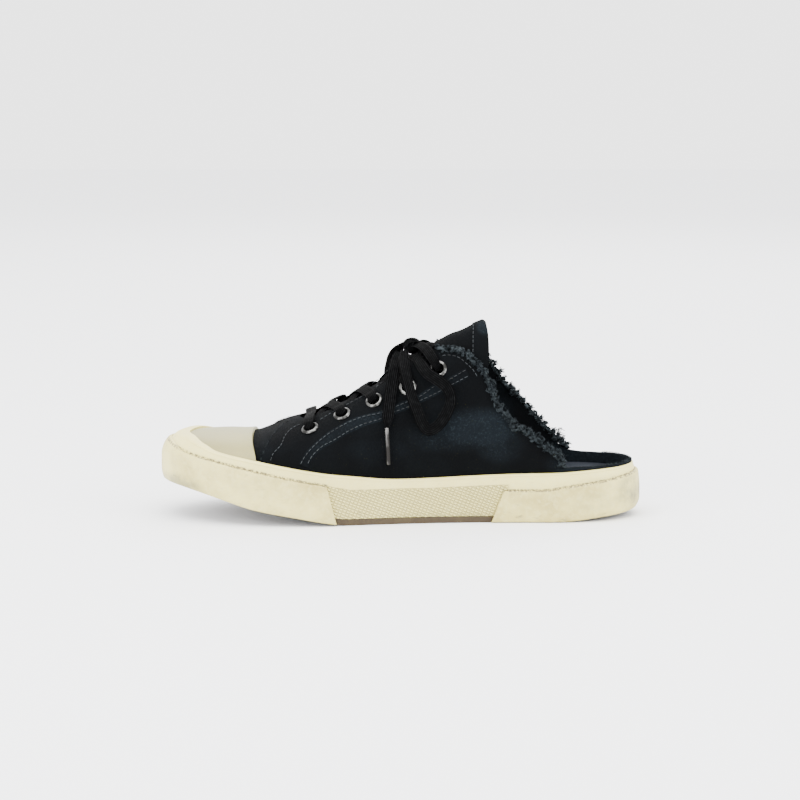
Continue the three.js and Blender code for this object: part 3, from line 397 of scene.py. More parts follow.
def crest(along):
    return read(FORM, "toe", along) * TOE_CREST + read(FORM, "instep", along) * INSTEP_CREST


def round_plan(inset, z):
    """Points round the plan: inset and z are one number for each station and level."""
    flat = plan[:, None, :] + plan_inward[:, None, :] * inset[:, :, None]
    return np.concatenate([flat, z[:, :, None]], axis=2)


def arch(lateral, medial, along, turn, grow):
    """Places over the last: turn runs from 0 at the lateral wall over the crest to 1 at the medial wall."""
    cosine = np.cos(turn * np.pi)
    sine = np.sin(np.clip(turn, 0, 1) * np.pi).clip(0)
    swing = np.sign(cosine) * np.abs(cosine) ** read(FORM, "side", along)
    shoulder = read(FORM, "shoulder", along) * crest(along)
    z = shoulder + (crest(along) + grow - shoulder) * sine ** read(FORM, "top", along)
    flat = (lateral + medial) / 2 + (lateral - medial) / 2 * swing[..., None]
    return np.concatenate([flat, z[..., None]], axis=-1)


def over_last(grow, floor, turns=72, wall_rows=5, from_turn=0, to_turn=1):
    """A sheet over the whole last, from wall to wall: stations x points x 3."""
    i = np.arange(SIDE_STATIONS + 1)
    share = np.linspace(from_turn, to_turn, turns + 1)
    turn = np.broadcast_to(share, (len(i), len(share)))
    along = np.broadcast_to(plan_along[i][:, None], turn.shape)
    grown = grow(along, turn) if callable(grow) else np.full(turn.shape, grow)
    inset = (FORM_INSET - grown)[..., None]
    lateral = plan[i][:, None] + plan_inward[i][:, None] * inset
    medial = plan[-i][:, None] + plan_inward[-i][:, None] * inset
    sheet = arch(lateral, medial, along, turn, grown)
    walls = []
    for edge in (0, -1):
        share = np.linspace(0, 1, wall_rows, endpoint=False)[None, :]
        low = floor(plan_along[i])[:, None]
        wall = np.repeat(sheet[:, edge : edge + 1 or None, :][:, :1], wall_rows, axis=1).copy()
        wall[..., 2] = low + (sheet[:, edge, 2][:, None] - low) * share
        walls.append(wall if edge == 0 else wall[:, ::-1])
    return np.concatenate([walls[0], sheet, walls[1]], axis=1) if wall_rows else sheet


def tool_on(piece):
    if bpy.context.mode != "OBJECT":
        bpy.ops.object.mode_set(mode="OBJECT")
    bpy.ops.object.select_all(action="DESELECT")
    piece.select_set(True)
    bpy.context.view_layer.objects.active = piece


def face_out(piece, weld=None):
    """Turns every face outwards, after welding points that lie closer than weld."""
    tool_on(piece)
    bpy.ops.object.mode_set(mode="EDIT")
    bpy.ops.mesh.select_all(action="SELECT")
    if weld:
        bpy.ops.mesh.remove_doubles(threshold=weld)
    bpy.ops.mesh.normals_make_consistent(inside=False)
    bpy.ops.object.mode_set(mode="OBJECT")


def laid_grid(name, points, uv=None, smooth=35):
    """A primitive grid laid over rows and columns of points, welded where its edges meet."""
    rows, columns = points.shape[:2]
    bpy.ops.object.select_all(action="DESELECT")
    bpy.ops.mesh.primitive_grid_add(x_subdivisions=columns - 1, y_subdivisions=rows - 1, size=1)
    piece = bpy.context.object
    piece.name = piece.data.name = name
    mesh = piece.data
    mesh.vertices.foreach_set("co", points.astype(np.float32).ravel())
    if uv is None:
        along = np.cumsum(np.linalg.norm(np.diff(points, axis=0, prepend=points[:1]), axis=2), axis=0)
        across = np.cumsum(np.linalg.norm(np.diff(points, axis=1, prepend=points[:, :1]), axis=2), axis=1)
        rows_at = along.mean(axis=1)[:, None] + 0 * across
        uv = np.stack([rows_at, across - across.mean(axis=1)[:, None]], axis=2)
    corner = np.zeros(len(mesh.loops), np.int32)
    mesh.loops.foreach_get("vertex_index", corner)
    mesh.uv_layers[0].data.foreach_set("uv", uv.reshape(-1, 2)[corner].astype(np.float32).ravel())
    mesh.update()
    face_out(piece, WELD)
    bpy.ops.object.shade_smooth_by_angle(angle=math.radians(smooth))
    return piece


def rounding(depth, radius):
    """How far a rounded edge falls back at a depth below it."""
    return radius * (1 - np.sqrt(1 - np.clip(1 - depth / radius, 0, 1) ** 2))


def closed_loop(points):
    """Repeats the first column, so that the grid's two long edges weld."""
    return np.concatenate([points, points[:, :1]], axis=1)


def capped(points):
    """Closes both ends of a grid: its first and last rows are drawn together at their middles."""
    middle = points.mean(axis=1, keepdims=True)
    return np.concatenate([middle[:1] + 0 * points[:1], points, middle[-1:] + 0 * points[-1:]])


def block(near, far):
    """A cutting block ruled between two outlines of equally many points."""
    bpy.ops.object.select_all(action="DESELECT")
    bpy.ops.mesh.primitive_cylinder_add(vertices=len(near), end_fill_type="NGON")
    tool = bpy.context.object
    places = np.zeros(len(tool.data.vertices) * 3, np.float32)
    tool.data.vertices.foreach_get("co", places)
    places = places.reshape(-1, 3)
    low = places[:, 2] < 0
    places[low], places[~low] = near, far
    tool.data.vertices.foreach_set("co", places.ravel())
    tool.data.update()
    face_out(tool)
    return tool


def side_block(outline, reach=0.1):
    """A block straight through the shoe, from its outline in the side view."""
    outline = np.asarray(outline, float)
    near = np.column_stack([outline[:, 0], np.full(len(outline), -reach), outline[:, 1]])
    return block(near, near * (1, -1, 1))


def carve(piece, tool, operation="DIFFERENCE", keep=False):
    change = piece.modifiers.new("carve", "BOOLEAN")
    change.operation = operation
    change.solver = "EXACT"
    change.object = tool
    tool_on(piece)
    bpy.ops.object.modifier_apply(modifier=change.name)
    if not keep:
        bpy.data.objects.remove(tool)


def round_edges(piece, width, angle=40, segments=2):
    change = piece.modifiers.new("round", "BEVEL")
    change.width = width
    change.segments = segments
    change.limit_method = "ANGLE"
    change.angle_limit = math.radians(angle)
    tool_on(piece)
    bpy.ops.object.modifier_apply(modifier=change.name)
    bpy.ops.object.shade_smooth_by_angle(angle=math.radians(40))


def dress(piece, finish, slot, *nodes):
    piece.data.materials.clear()
    piece.data.materials.append(finish.material)
    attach(piece, "root")
    if nodes:
        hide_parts(*nodes)


# The outsole and the filler over it. The gum rubber shows only as a brown line at the waist, worn dull
# on its edge; the filler is hidden by the foxing, so its solid stays and gets a plain foam finish.
GUM_BROWN = (0.031, 0.0172, 0.0028)
GUM_DUSTY = (0.048, 0.0305, 0.0068)

gum = Finish("gum_rubber", Roughness=0.62)
gum_place, _ = gum.place()
gum_cloud = gum.noise(gum_place, 90, detail=5)
gum_grit = gum.noise(gum_place, 1500, detail=2)
gum.feed(Base_Color=gum.blend(gum_cloud.fade(0.35, 0.75), GUM_BROWN, GUM_DUSTY))
gum.relief(gum_grit * 0.6 + gum_cloud * 0.4, 0.0003)
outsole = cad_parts["outsole"]
outsole.data.materials.clear()
outsole.data.materials.append(gum.material)

foam = Finish("sole_filler", Roughness=0.9)
foam_place, _ = foam.place()
foam_cells = foam.noise(foam_place, 700, detail=3)
foam.feed(Base_Color=foam.blend(foam_cells, (0.4, 0.35, 0.16), (0.48, 0.43, 0.22)))
foam.relief(foam_cells, 0.0003)
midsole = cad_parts["midsole"]
midsole.data.materials.clear()
midsole.data.materials.append(foam.material)

# The insole: a die-cut board under black cotton, dished a little where the heel and the ball press it.
# It is glued down on the filler inside the wall of the upper, with a rolled edge.
INSOLE_EDGE = FORM_INSET + 2 * MM + GAP
INSOLE_THICKNESS = 4 * MM
INSOLE_ROWS = 26
INSOLE_ROUND = 1.2 * MM
INSOLE_THREAD = 0.7 * MM
DISHES = [
    {"along": 0.86, "length": 0.09, "width": 0.24, "depth": 1.4},
    {"along": 0.32, "length": 0.1, "width": 0.28, "depth": 0.8},
]


def make_insole():
    i = np.arange(SIDE_STATIONS + 1)
    along = plan_along[i]
    inset = np.full(len(i), INSOLE_EDGE)[:, None]
    lateral = plan[i] + plan_inward[i] * inset
    medial = plan[-i] + plan_inward[-i] * inset
    share = (1 - np.cos(np.linspace(0, np.pi, INSOLE_ROWS + 1))) / 2
    flat = lateral[:, None] + (medial - lateral)[:, None] * share[None, :, None]
    edge = np.minimum(share, 1 - share)[None, :] * np.linalg.norm(medial - lateral, axis=1)[:, None]
    ends = np.minimum(i, SIDE_STATIONS - i)[:, None] * LENGTH / SIDE_STATIONS
    near_edge = np.minimum(edge, ends)
    roll = rounding(near_edge, INSOLE_ROUND)
    top = feather(along)[:, None] + INSOLE_THICKNESS - roll
    for dish in DISHES:
        lengthways = ((along[:, None] - dish["along"]) / dish["length"]) ** 2
        sideways = ((share[None, :] - 0.5) / dish["width"]) ** 2
        top = top - dish["depth"] * MM * np.exp(-lengthways - sideways)
    upper_face = np.concatenate([flat, top[..., None]], axis=2)
    bottom = np.broadcast_to(feather(along)[:, None, None], top.shape + (1,))
    lower_face = np.concatenate([flat, bottom], axis=2)
    return laid_grid("insole_cloth", closed_loop(np.concatenate([upper_face, lower_face[:, ::-1]], axis=1)))


insole = make_insole()
INSOLE_BLACK = (0.0125, 0.0145, 0.018)
INSOLE_WORN = (0.0185, 0.0213, 0.0264)
insole_finish = Finish("insole_cotton", Roughness=0.88)
insole_finish.shader.inputs["Specular IOR Level"].default_value = 0.03
insole_place, insole_axes = insole_finish.place()
insole_warp = (insole_axes[0] * (math.tau / INSOLE_THREAD)).sine()
insole_thread = insole_warp * (insole_axes[1] * (math.tau / INSOLE_THREAD)).sine()
insole_cloud = insole_finish.noise(insole_place, 45, detail=5)
insole_worn = insole_cloud.fade(0.4, 0.75)
insole_finish.feed(Base_Color=insole_finish.blend(insole_worn, INSOLE_BLACK, INSOLE_WORN))
insole_finish.relief(insole_thread, 0.00012, 0.6)
dress(insole, insole_finish, "insole_cloth", "insole")

# The foxing: one strip of cream rubber wound round the shoe and vulcanised on. Its top edge carries a
# thin bead, and a band of its side is pressed with small slanting pads like a basket weave.
BEAD_PROUD = 0.5 * MM
BEAD_HEIGHT = 1.6 * MM
OUTER_LEVELS = 30


def ring_rows(levels):
    """Rows of one profile round the plan, closed on itself, with a UV map in metres round and up."""
    points = round_plan(levels[..., 0], levels[..., 1])
    points = closed_loop(np.concatenate([points, points[:1]], axis=0))
    heights = np.concatenate([levels[..., 1], levels[:1, :, 1]], axis=0)
    heights = np.concatenate([heights, heights[:, :1]], axis=1)
    return points, np.stack([np.broadcast_to(plan_run[:, None], heights.shape), heights], axis=2)


def make_foxing():
    along = plan_along[:, None]
    top = rim(along)
    bottom = sole_bottom(along) + OUTSOLE_THICKNESS + GAP
    share = 1 - (1 - np.linspace(0, 1, OUTER_LEVELS)) ** 1.6
    z = bottom + (top - bottom) * share[None, :]
    in_bead = (top - z) / BEAD_HEIGHT
    bead = BEAD_PROUD * np.sqrt(np.clip(1 - (2 * in_bead - 0.9) ** 2, 0, 1))
    rounded = rounding(top - z, 0.7 * MM)
    outer = np.stack([skin(along, z) - bead + rounded, z], axis=2)
    lip = skin(along, top)
    in_wall = FORM_INSET + 1.2 * MM + (1 - soft_step(along, 0.2, 0.5)) * 30 * MM
    back = np.minimum(lip + FOXING_THICKNESS, in_wall)
    deep = np.minimum(np.maximum(back, FORM_INSET + 0.5 * MM), in_wall)
    low = np.maximum(top - 9 * MM, bottom + 1 * MM)
    inner = [(np.minimum(lip + 1.4 * MM, back), top), (back, top - 0.1 * MM), (back, top - 0.8 * MM)]
    inner += [(deep, low), (deep, bottom)]
    columns = [np.concatenate([part[n] + 0 * along for part in inner], axis=1) for n in (0, 1)]
    points, uv = ring_rows(np.concatenate([outer, np.stack(columns, axis=2)], axis=1))
    return laid_grid("foxing_strip", points, uv)


CREAM = (0.75, 0.665, 0.238)
# A yellower cream: the rubber's own yellowing, and also the painted shade in the grooves between the
# foxing's pads.
CREAM_YELLOWED_AND_SHADE = (0.38, 0.312, 0.092)
CREAM_CHALKY = (0.64, 0.59, 0.27)
SMUDGE_GREEN = (0.15, 0.142, 0.07)
DIRT_BROWN = (0.085, 0.064, 0.032)
PAD_ROW = 1.9 * MM
PAD_LENGTH = 2.5 * MM
PAD_SLANT = 0.4
PADS_BELOW_TOP = 6 * MM
PADS_FROM = -0.06
PADS_TO = 0.068
PADS_SOFT = 4 * MM
SEAM_DIRT = 1.25 * MM
TOE_SEAM_STOPS = [0.012, 0.04, 0.08, 0.123, 0.2, 0.27, 0.352]
HEEL_SEAM_STOPS = [0.71, 0.76, 0.805, 0.86, 0.92, 0.96, 0.99]
TOE_BUMPER_TOP = {
    "along": [0, 0.023, 0.057, 0.123, 0.35, 0.45],
    "share": [0.943, 0.911, 0.853, 0.876, 0.778, 0.756],
}
HEEL_BUMPER_TOP = {
    "along": [0.6, 0.805, 0.86, 0.92, 1],
    "share": [0.699, 0.668, 0.738, 0.781, 0.86],
}


def bumper_seams():
    """Straight runs along the top edges of both bumpers, where dirt gathers: middle, reach and slope."""
    runs = []
    for top_line, stops in ((TOE_BUMPER_TOP, TOE_SEAM_STOPS), (HEEL_BUMPER_TOP, HEEL_SEAM_STOPS)):
        along = np.array(stops)
        x = (along - 0.5) * LENGTH
        z = read(top_line, "share", along) * rim(along)
        for a, b in zip(range(len(x) - 1), range(1, len(x))):
            middle = (float(x[a] + x[b]) / 2, 0, float(z[a] + z[b]) / 2)
            runs.append((middle, float(x[b] - x[a]) * 0.56, float((z[b] - z[a]) / (x[b] - x[a]))))
    return runs


def cream_rubber(name, yellowed_and_painted_light, smudges, seams):
    """Cream rubber with its low clouds of yellowing, fine chalk, and dirt that gathers near the floor."""
    finish = Finish(name, Roughness=0.5, Coat_Weight=0.06, Coat_Roughness=0.4)
    vector, axes = finish.place()
    cloud = finish.noise(vector, 28, detail=4, roughness=0.6)
    fine = finish.noise(vector, 420, detail=3)
    # The amount of yellowing is the rubber's own, and for the foxing strip partly painted light.
    color = finish.blend(cloud.fade(0.3, 0.72) * yellowed_and_painted_light + yellowed_and_painted_light * 0.25, CREAM, CREAM_YELLOWED_AND_SHADE)
    color = finish.blend(fine.fade(0.45, 0.7) * 0.35, color, CREAM_CHALKY)
    scuffs = finish.noise(vector, 240, detail=6, roughness=0.72, stretch=(0.5, 0.5, 1.3)).fade(0.56, 0.72)
    blots = finish.spots(axes, smudges)
    mottle = finish.noise(vector, 110, detail=5, roughness=0.65).fade(0.35, 0.65)
    stain = (blots * (0.3 + 0.7 * mottle)).least(0.85)
    color = finish.blend(stain, color, SMUDGE_GREEN)
    low = 1 - axes[2].fade(0.001, 0.012)
    color = finish.blend((scuffs * (0.26 + 0.5 * low + 0.6 * stain)).least(0.85), color, DIRT_BROWN)
    dotted = finish.noise(vector, 700, detail=3, roughness=0.7).fade(0.42, 0.56)
    for centre, reach, slope in seams:
        off = axes[2] - (axes[0] - centre[0]) * slope - centre[2]
        line = 1 - off.size().fade(0.0003, SEAM_DIRT)
        line = line * (1 - (axes[0] - centre[0]).size().fade(reach * 0.8, reach))
        color = finish.blend(line * dotted * 0.9, color, DIRT_BROWN)
    return finish, vector, axes, color, cloud, fine


# Painted light in part: the strip gets less yellowing than the bumpers, so that it reads as bright as them
# though it sits in shade under the upper.
FOXING_YELLOWED_AND_PAINTED_LIGHT = 0.28
FOXING_SMUDGES = [
    ((0.13, -0.02, 0.018), (0.035, 0, 0.012), 0.4),
    ((0.03, 0, 0.004), (0.06, 0, 0.004), 0.35),
]
foxing_finish, _, foxing_axes, foxing_color, foxing_cloud, foxing_fine = cream_rubber(
    "foxing_rubber",
    FOXING_YELLOWED_AND_PAINTED_LIGHT,
    FOXING_SMUDGES,
    bumper_seams(),
)
_, (pad_u, pad_v, _) = foxing_finish.place("UV")
pad_rows = ((pad_v + pad_u * PAD_SLANT) * (math.pi / PAD_ROW)).sine().size()
pad_marks = ((pad_u - pad_v * PAD_SLANT) * (math.pi / PAD_LENGTH)).sine().size()
pads = (pad_rows.fade(0.1, 0.55) * pad_marks.fade(0.08, 0.5)) * (0.4 + 0.6 * pad_rows)
pads_begin = foxing_axes[0].fade(PADS_FROM, PADS_FROM + PADS_SOFT)
pads_along = pads_begin * (1 - foxing_axes[0].fade(PADS_TO - PADS_SOFT, PADS_TO))
waist_top = RIM_AT_WAIST - PADS_BELOW_TOP
rim_slope = (foxing_axes[0] * -1 - 0.03).most(0) * 0.2 + (foxing_axes[0] - 0.02).most(0) * 0.035
pads_mask = pads_along * (1 - (pad_v - rim_slope).fade(waist_top, waist_top + 0.6 * MM))
# Painted shade: the grooves between the pads are blended towards the yellower cream, as shade in the
# recesses.
pad_groove_shade = pads_mask * (1 - pads)
foxing_finish.feed(Base_Color=foxing_finish.blend(pad_groove_shade * 0.62, foxing_color, CREAM_YELLOWED_AND_SHADE))
foxing_height = pads * pads_mask * 0.9 + foxing_fine * 0.08 + foxing_cloud * 0.1
foxing_finish.relief(foxing_height, 0.0016, 1.0)
dress(make_foxing(), foxing_finish, "cream_rubber", "foxing")

# The bumpers: a second layer of rubber wrapped round the toe and round the heel, down to the floor.
# Their ends are cut on the slant, their top edge is rounded, and they are yellower than the strip, whose
# paler colour is in part painted light that offsets the shade it sits in under the upper.
TOE_BUMPER_END = {"top": 0.3493, "foot": 0.3707}
HEEL_BUMPER_END = {"top": 0.7133, "foot": 0.6867}
BUMPER_ROUND = 1.1 * MM
BUMPER_LEVELS = 22
BUMPER_YELLOWED = 0.8


def make_bumper(name, top_line, end, keep_toe):
    along = plan_along[:, None]
    low = sole_bottom(along) + GAP
    top = read(top_line, "share", along) * rim(along)
    share = (1 - np.cos(np.linspace(0, np.pi, BUMPER_LEVELS))) / 2
    z = low + (top - low) * share[None, :]
    near_edge = np.minimum(top - z, (z - low) * 1.2)
    rounded = rounding(near_edge, BUMPER_ROUND)
    outer = np.stack([skin(along, z) - BUMPER_SKIN + rounded, z], axis=2)
    back = z[:, ::-3]
    inner = np.stack([skin(along, back) - GAP, back], axis=2)
    points, uv = ring_rows(np.concatenate([outer, inner], axis=1))
    bumper = laid_grid(name, points, uv)
    at_top = np.array(end["top"])
    top_z = float(read(top_line, "share", at_top) * rim(at_top))
    foot_x = (end["foot"] - 0.5) * LENGTH
    across = Vector((top_z, 0, foot_x - (end["top"] - 0.5) * LENGTH)).normalized()
    tool_on(bumper)
    bpy.ops.object.mode_set(mode="EDIT")
    bpy.ops.mesh.select_all(action="SELECT")
    bpy.ops.mesh.bisect(
        plane_co=(foot_x, 0, 0),
        plane_no=across,
        use_fill=True,
        clear_outer=keep_toe,
        clear_inner=not keep_toe,
    )
    bpy.ops.object.mode_set(mode="OBJECT")
    round_edges(bumper, 0.45 * MM, angle=55)
    return bumper


def bumper_finish(name, smudges):
    finish, vector, _, color, cloud, fine = cream_rubber(name, BUMPER_YELLOWED, smudges, bumper_seams())
    finish.feed(Base_Color=color)
    finish.feed(Roughness=0.42 + cloud * 0.2)
    dents = finish.noise(vector, 60, detail=2)
    finish.relief(fine * 0.12 + dents * 0.7, 0.0009, 0.5)
    return finish


TOE_SMUDGES = [
    ((-0.138, -0.03, 0.022), (0.02, 0, 0.009), 0.65),
    ((-0.115, -0.05, 0.012), (0.022, 0, 0.005), 0.6),
    ((-0.145, 0.03, 0.03), (0.02, 0.03, 0.012), 0.4),
    ((-0.085, -0.05, 0.024), (0.02, 0, 0.01), 0.16),
]
HEEL_SMUDGES = [
    ((0.142, -0.02, 0.018), (0.012, 0, 0.012), 0.6),
    ((0.118, -0.035, 0.013), (0.018, 0, 0.008), 0.35),
    ((0.15, 0.0, 0.012), (0.02, 0.03, 0.01), 0.4),
]
toe_bumper = make_bumper("toe_bumper_strip", TOE_BUMPER_TOP, TOE_BUMPER_END, True)
dress(toe_bumper, bumper_finish("toe_bumper_rubber", TOE_SMUDGES), "cream_rubber", "toe_bumper")
heel_bumper = make_bumper("heel_bumper_strip", HEEL_BUMPER_TOP, HEEL_BUMPER_END, False)
dress(heel_bumper, bumper_finish("heel_bumper_rubber", HEEL_SMUDGES), "cream_rubber", "heel_bumper")

# The upper: black cotton canvas over the last. The vamp is one piece from the toe, the quarters lie on
# it from the throat back to the torn collar, and soft folds cross the ball where the foot bends.
UPPER_WALL = 2 * MM
QUARTER_STEP = 0.8 * MM
COLLAR = {
    "along": [
        *(0.576, 0.628, 0.643, 0.662, 0.671, 0.681, 0.7, 0.722, 0.752, 0.779, 0.804, 0.825, 0.835, 0.855),
        1.05,
    ],
    "lateral": [
        *(0.845, 0.836, 0.797, 0.752, 0.722, 0.653, 0.565, 0.502, 0.44, 0.392, 0.35, 0.3, 0.273, 0.274),
        0.283,
    ],
    "medial": [
        *(0.845, 0.845, 0.822, 0.795, 0.785, 0.755, 0.68, 0.608, 0.535, 0.457, 0.393, 0.345, 0.312, 0.283),
        0.283,
    ],
}
QUARTER_FRONT = {
    "along": [0.21, 0.214, 0.226, 0.239, 0.254, 0.28, 0.298],
    "height": [0.12, 0.325, 0.39, 0.435, 0.463, 0.495, 0.56],
}
THROAT = {
    "along": [0.291, 0.296, 0.31, 0.335, 0.45, 0.6, 0.7],
    "half": [0.028, 0.141, 0.233, 0.269, 0.301, 0.384, 0.46],
}
THROAT_SHIFT = -1 * MM
SKY = 1.4 * INSTEP_CREST
EYELET_BARREL = 7.4 * MM
EYELETS = [(0.315, 0.635), (0.381, 0.6), (0.447, 0.62), (0.516, 0.7), (0.578, 0.69)]
FOLDS = [
    {"along": 0.262, "slant": 0.05, "width": 0.009, "depth": 0.7},
    {"along": 0.33, "slant": -0.07, "width": 0.012, "depth": 0.55},
    {"along": 0.43, "slant": -0.1, "width": 0.013, "depth": 0.5},
    {"along": 0.56, "slant": 0.12, "width": 0.016, "depth": 0.6},
    {"along": 0.64, "slant": 0.09, "width": 0.012, "depth": 0.5},
]
RIDGE_SHARE = 0.5
RIDGE_AWAY = 1.7


def folds(along, turn):
    """Soft troughs in the canvas of the sides, with a ridge beside each."""
    total = 0 * along
    down_side = np.minimum(turn, 1 - turn)
    for fold in FOLDS:
        off = (along - fold["along"] - fold["slant"] * (0.3 - down_side)) / fold["width"]
        trough = fold["depth"] * MM * np.exp(-(off**2))
        total = total - trough + RIDGE_SHARE * fold["depth"] * MM * np.exp(-((off - RIDGE_AWAY) ** 2))
    sides = soft_step(down_side, 0.0, 0.05) * (1 - soft_step(down_side, 0.3, 0.4))
    return total * sides * soft_step(along, 0.22, 0.27)


def sheet_over_last(name, outer, inner, sway, floor):
    """A closed sheet over the last between two depths, both moved by the same sway."""
    skins = [over_last(lambda a, t: depth + sway(a, t), floor) for depth in (outer, inner)]
    return laid_grid(name, closed_loop(np.concatenate([skins[0], skins[1][:, ::-1]], axis=1)))


def collar_outline(side, y):
    line = smooth_line(side_line(COLLAR, side), 5)
    line = np.vstack([line, [line[-1, 0], SKY], [line[0, 0], SKY]])
    return np.column_stack([line[:, 0], np.full(len(line), y), line[:, 1]])


def throat_outline(z):
    along = np.array(THROAT["along"])
    line = np.column_stack([(along - 0.5) * LENGTH, THROAT["half"] * half_width(along)])
    line = smooth_line(line, 5)
    flat = np.vstack([line * (1, -1), line[::-1]]) + (0, THROAT_SHIFT)
    return np.column_stack([flat, np.full(len(flat), z)])


def last_point(along, across):
    """A point of the last by its place along, and sideways as a share of its half width."""
    share = min(abs(across), 1) ** (1 / read(FORM, "side", np.array(along)))
    turn = math.acos(share * (1 if across < 0 else -1)) / math.pi
    i = np.arange(SIDE_STATIONS + 1)
    lateral = plan[i] + plan_inward[i] * FORM_INSET
    medial = plan[-i] + plan_inward[-i] * FORM_INSET
    line = arch(lateral, medial, plan_along[i], np.full(len(i), turn), np.zeros(len(i)))
    x = (along - 0.5) * LENGTH
    return np.array([x, np.interp(x, line[:, 0], line[:, 1]), np.interp(x, line[:, 0], line[:, 2])])


def on_last(along, across, over):
    step = 0.01
    point = last_point(along, across)
    sideways = last_point(along, across + step) - last_point(along, across - step)
    lengthways = last_point(along + step, across) - last_point(along - step, across)
    normal = np.cross(lengthways, sideways)
    normal /= np.linalg.norm(normal)
    normal *= 1 if normal[2] > 0 else -1
    return point + normal * over, normal


def punch_eyelets(piece):
    for side in (-1, 1):
        for along, across in EYELETS:
            point, normal = on_last(along, side * across, 0)
            bpy.ops.object.select_all(action="DESELECT")
            bpy.ops.mesh.primitive_cylinder_add(
                vertices=24,
                radius=EYELET_BARREL / 2 + GAP / 2,
                depth=8 * MM,
                location=point,
                rotation=Vector(normal).to_track_quat("Z", "Y").to_euler(),
            )
            carve(piece, bpy.context.object)


def cut_open(piece):
    carve(piece, block(collar_outline("lateral", -BALL_WIDTH), collar_outline("lateral", GAP)))
    carve(piece, block(collar_outline("medial", -GAP), collar_outline("medial", BALL_WIDTH)))
    carve(piece, block(throat_outline(RIM_AT_HEEL), throat_outline(SKY)))
    punch_eyelets(piece)


vamp = sheet_over_last("vamp_canvas", 0, -UPPER_WALL, folds, feather)
cut_open(vamp)
quarter = sheet_over_last("quarter_canvas", QUARTER_STEP, 0.1 * MM, folds, feather)
front = smooth_line(side_line(QUARTER_FRONT), 6)
front = np.vstack([front, [front[-1, 0], SKY], [-LENGTH, SKY], [-LENGTH, front[0, 1]]])
carve(quarter, side_block(front))
cut_open(quarter)
round_edges(quarter, 0.22 * MM, angle=60)
bpy.ops.object.shade_smooth_by_angle(angle=math.radians(40))

CANVAS_BLACK = (0.0012, 0.0014, 0.0017)
CANVAS_SOFT = (0.0022, 0.003, 0.0037)
# This faded colour serves the worn patches, and also the painted light over the heel.
CANVAS_FADED_AND_PAINTED_LIGHT = (0.0066, 0.0095, 0.0125)
THREAD_PALE = (0.022, 0.031, 0.037)
TWILL_PITCH = 0.75 * MM
# Paler patches: wear and washing, except the last, over the heel, which is painted light.
FADED_AND_PAINTED_LIGHT_PATCHES = [
    ((-0.083, 0, 0.045), (0.006, 0, 0.012), 0.25),
    ((0.047, -0.036, 0.060), (0.03, 0, 0.014), 1.0),
    ((0.062, -0.034, 0.048), (0.02, 0, 0.014), 0.45),
    ((-0.012, -0.04, 0.045), (0.03, 0, 0.01), 0.22),
    ((0.03, 0.034, 0.055), (0.03, 0, 0.014), 0.7),
    ((-0.055, 0, 0.062), (0.02, 0.02, 0.01), 0.25),
    # Painted light: lifts the canvas round the heel, inside and out, so that its inner wall, which the
    # lamps leave in shade, reads lighter.
    ((0.125, 0, 0.036), (0.04, 0, 0.018), 1.3),
]


def canvas(name, wash, patches):
    """Black twill: fine slanting ribs, a slow cloud of wash, and pale thread tops in its paler patches,
    which are wear, except a heel patch of painted light.
    """
    finish = Finish(name, Roughness=0.93)
    finish.shader.inputs["Specular IOR Level"].default_value = 0.05
    vector, axes = finish.place()
    _, (u, v, _) = finish.place("UV")
    ribs = ((u + v) * (math.tau / TWILL_PITCH)).sine()
    picks = ((u - v * 2.1) * (math.tau / (TWILL_PITCH * 1.3))).sine()
    slub = finish.noise(vector, 900, detail=3, roughness=0.7)
    cloud = finish.noise(vector, 30, detail=5, roughness=0.62)
    # The patches lighten the canvas: wear, and in the heel patch painted light.
    wear_and_painted_light = (finish.spots(axes, patches) * (0.55 + 0.75 * cloud.fade(0.3, 0.7)) + wash).least(1)
    color = finish.blend(cloud.fade(0.38, 0.78) * 0.8, CANVAS_BLACK, CANVAS_SOFT)
    color = finish.blend(wear_and_painted_light * 0.55, color, CANVAS_FADED_AND_PAINTED_LIGHT)
    tops = (ribs.fade(0.1, 0.95) * slub.fade(0.5, 0.66) * wear_and_painted_light.fade(0.1, 0.8)).least(1)
    color = finish.blend(tops * 0.75, color, THREAD_PALE)
    finish.feed(Base_Color=color)
    finish.relief(ribs * 0.5 + picks * 0.3 + slub * 0.8, 0.00022, 0.8)
    return finish


dress(vamp, canvas("vamp_twill", 0.05, FADED_AND_PAINTED_LIGHT_PATCHES), "black_canvas", "upper")
dress(quarter, canvas("quarter_twill", 0.05, FADED_AND_PAINTED_LIGHT_PATCHES), "black_canvas")

# The toe cap: a thin shell of paler rubber moulded over the vamp's toe. Its rear edge is a clean
# curve over the foot, and its foot is caught under the foxing.
CAP_THICKNESS = 1.6 * MM
CAP_FOOT = 30 * MM
CAP_REAR = {
    "along": [0.206, 0.204, 0.196, 0.191, 0.19, 0.19],
    "height": [0.28, 0.34, 0.395, 0.44, 0.5, 1.5],
}
CAP_GREY = (0.215, 0.19, 0.062)
CAP_PALE = (0.258, 0.228, 0.075)

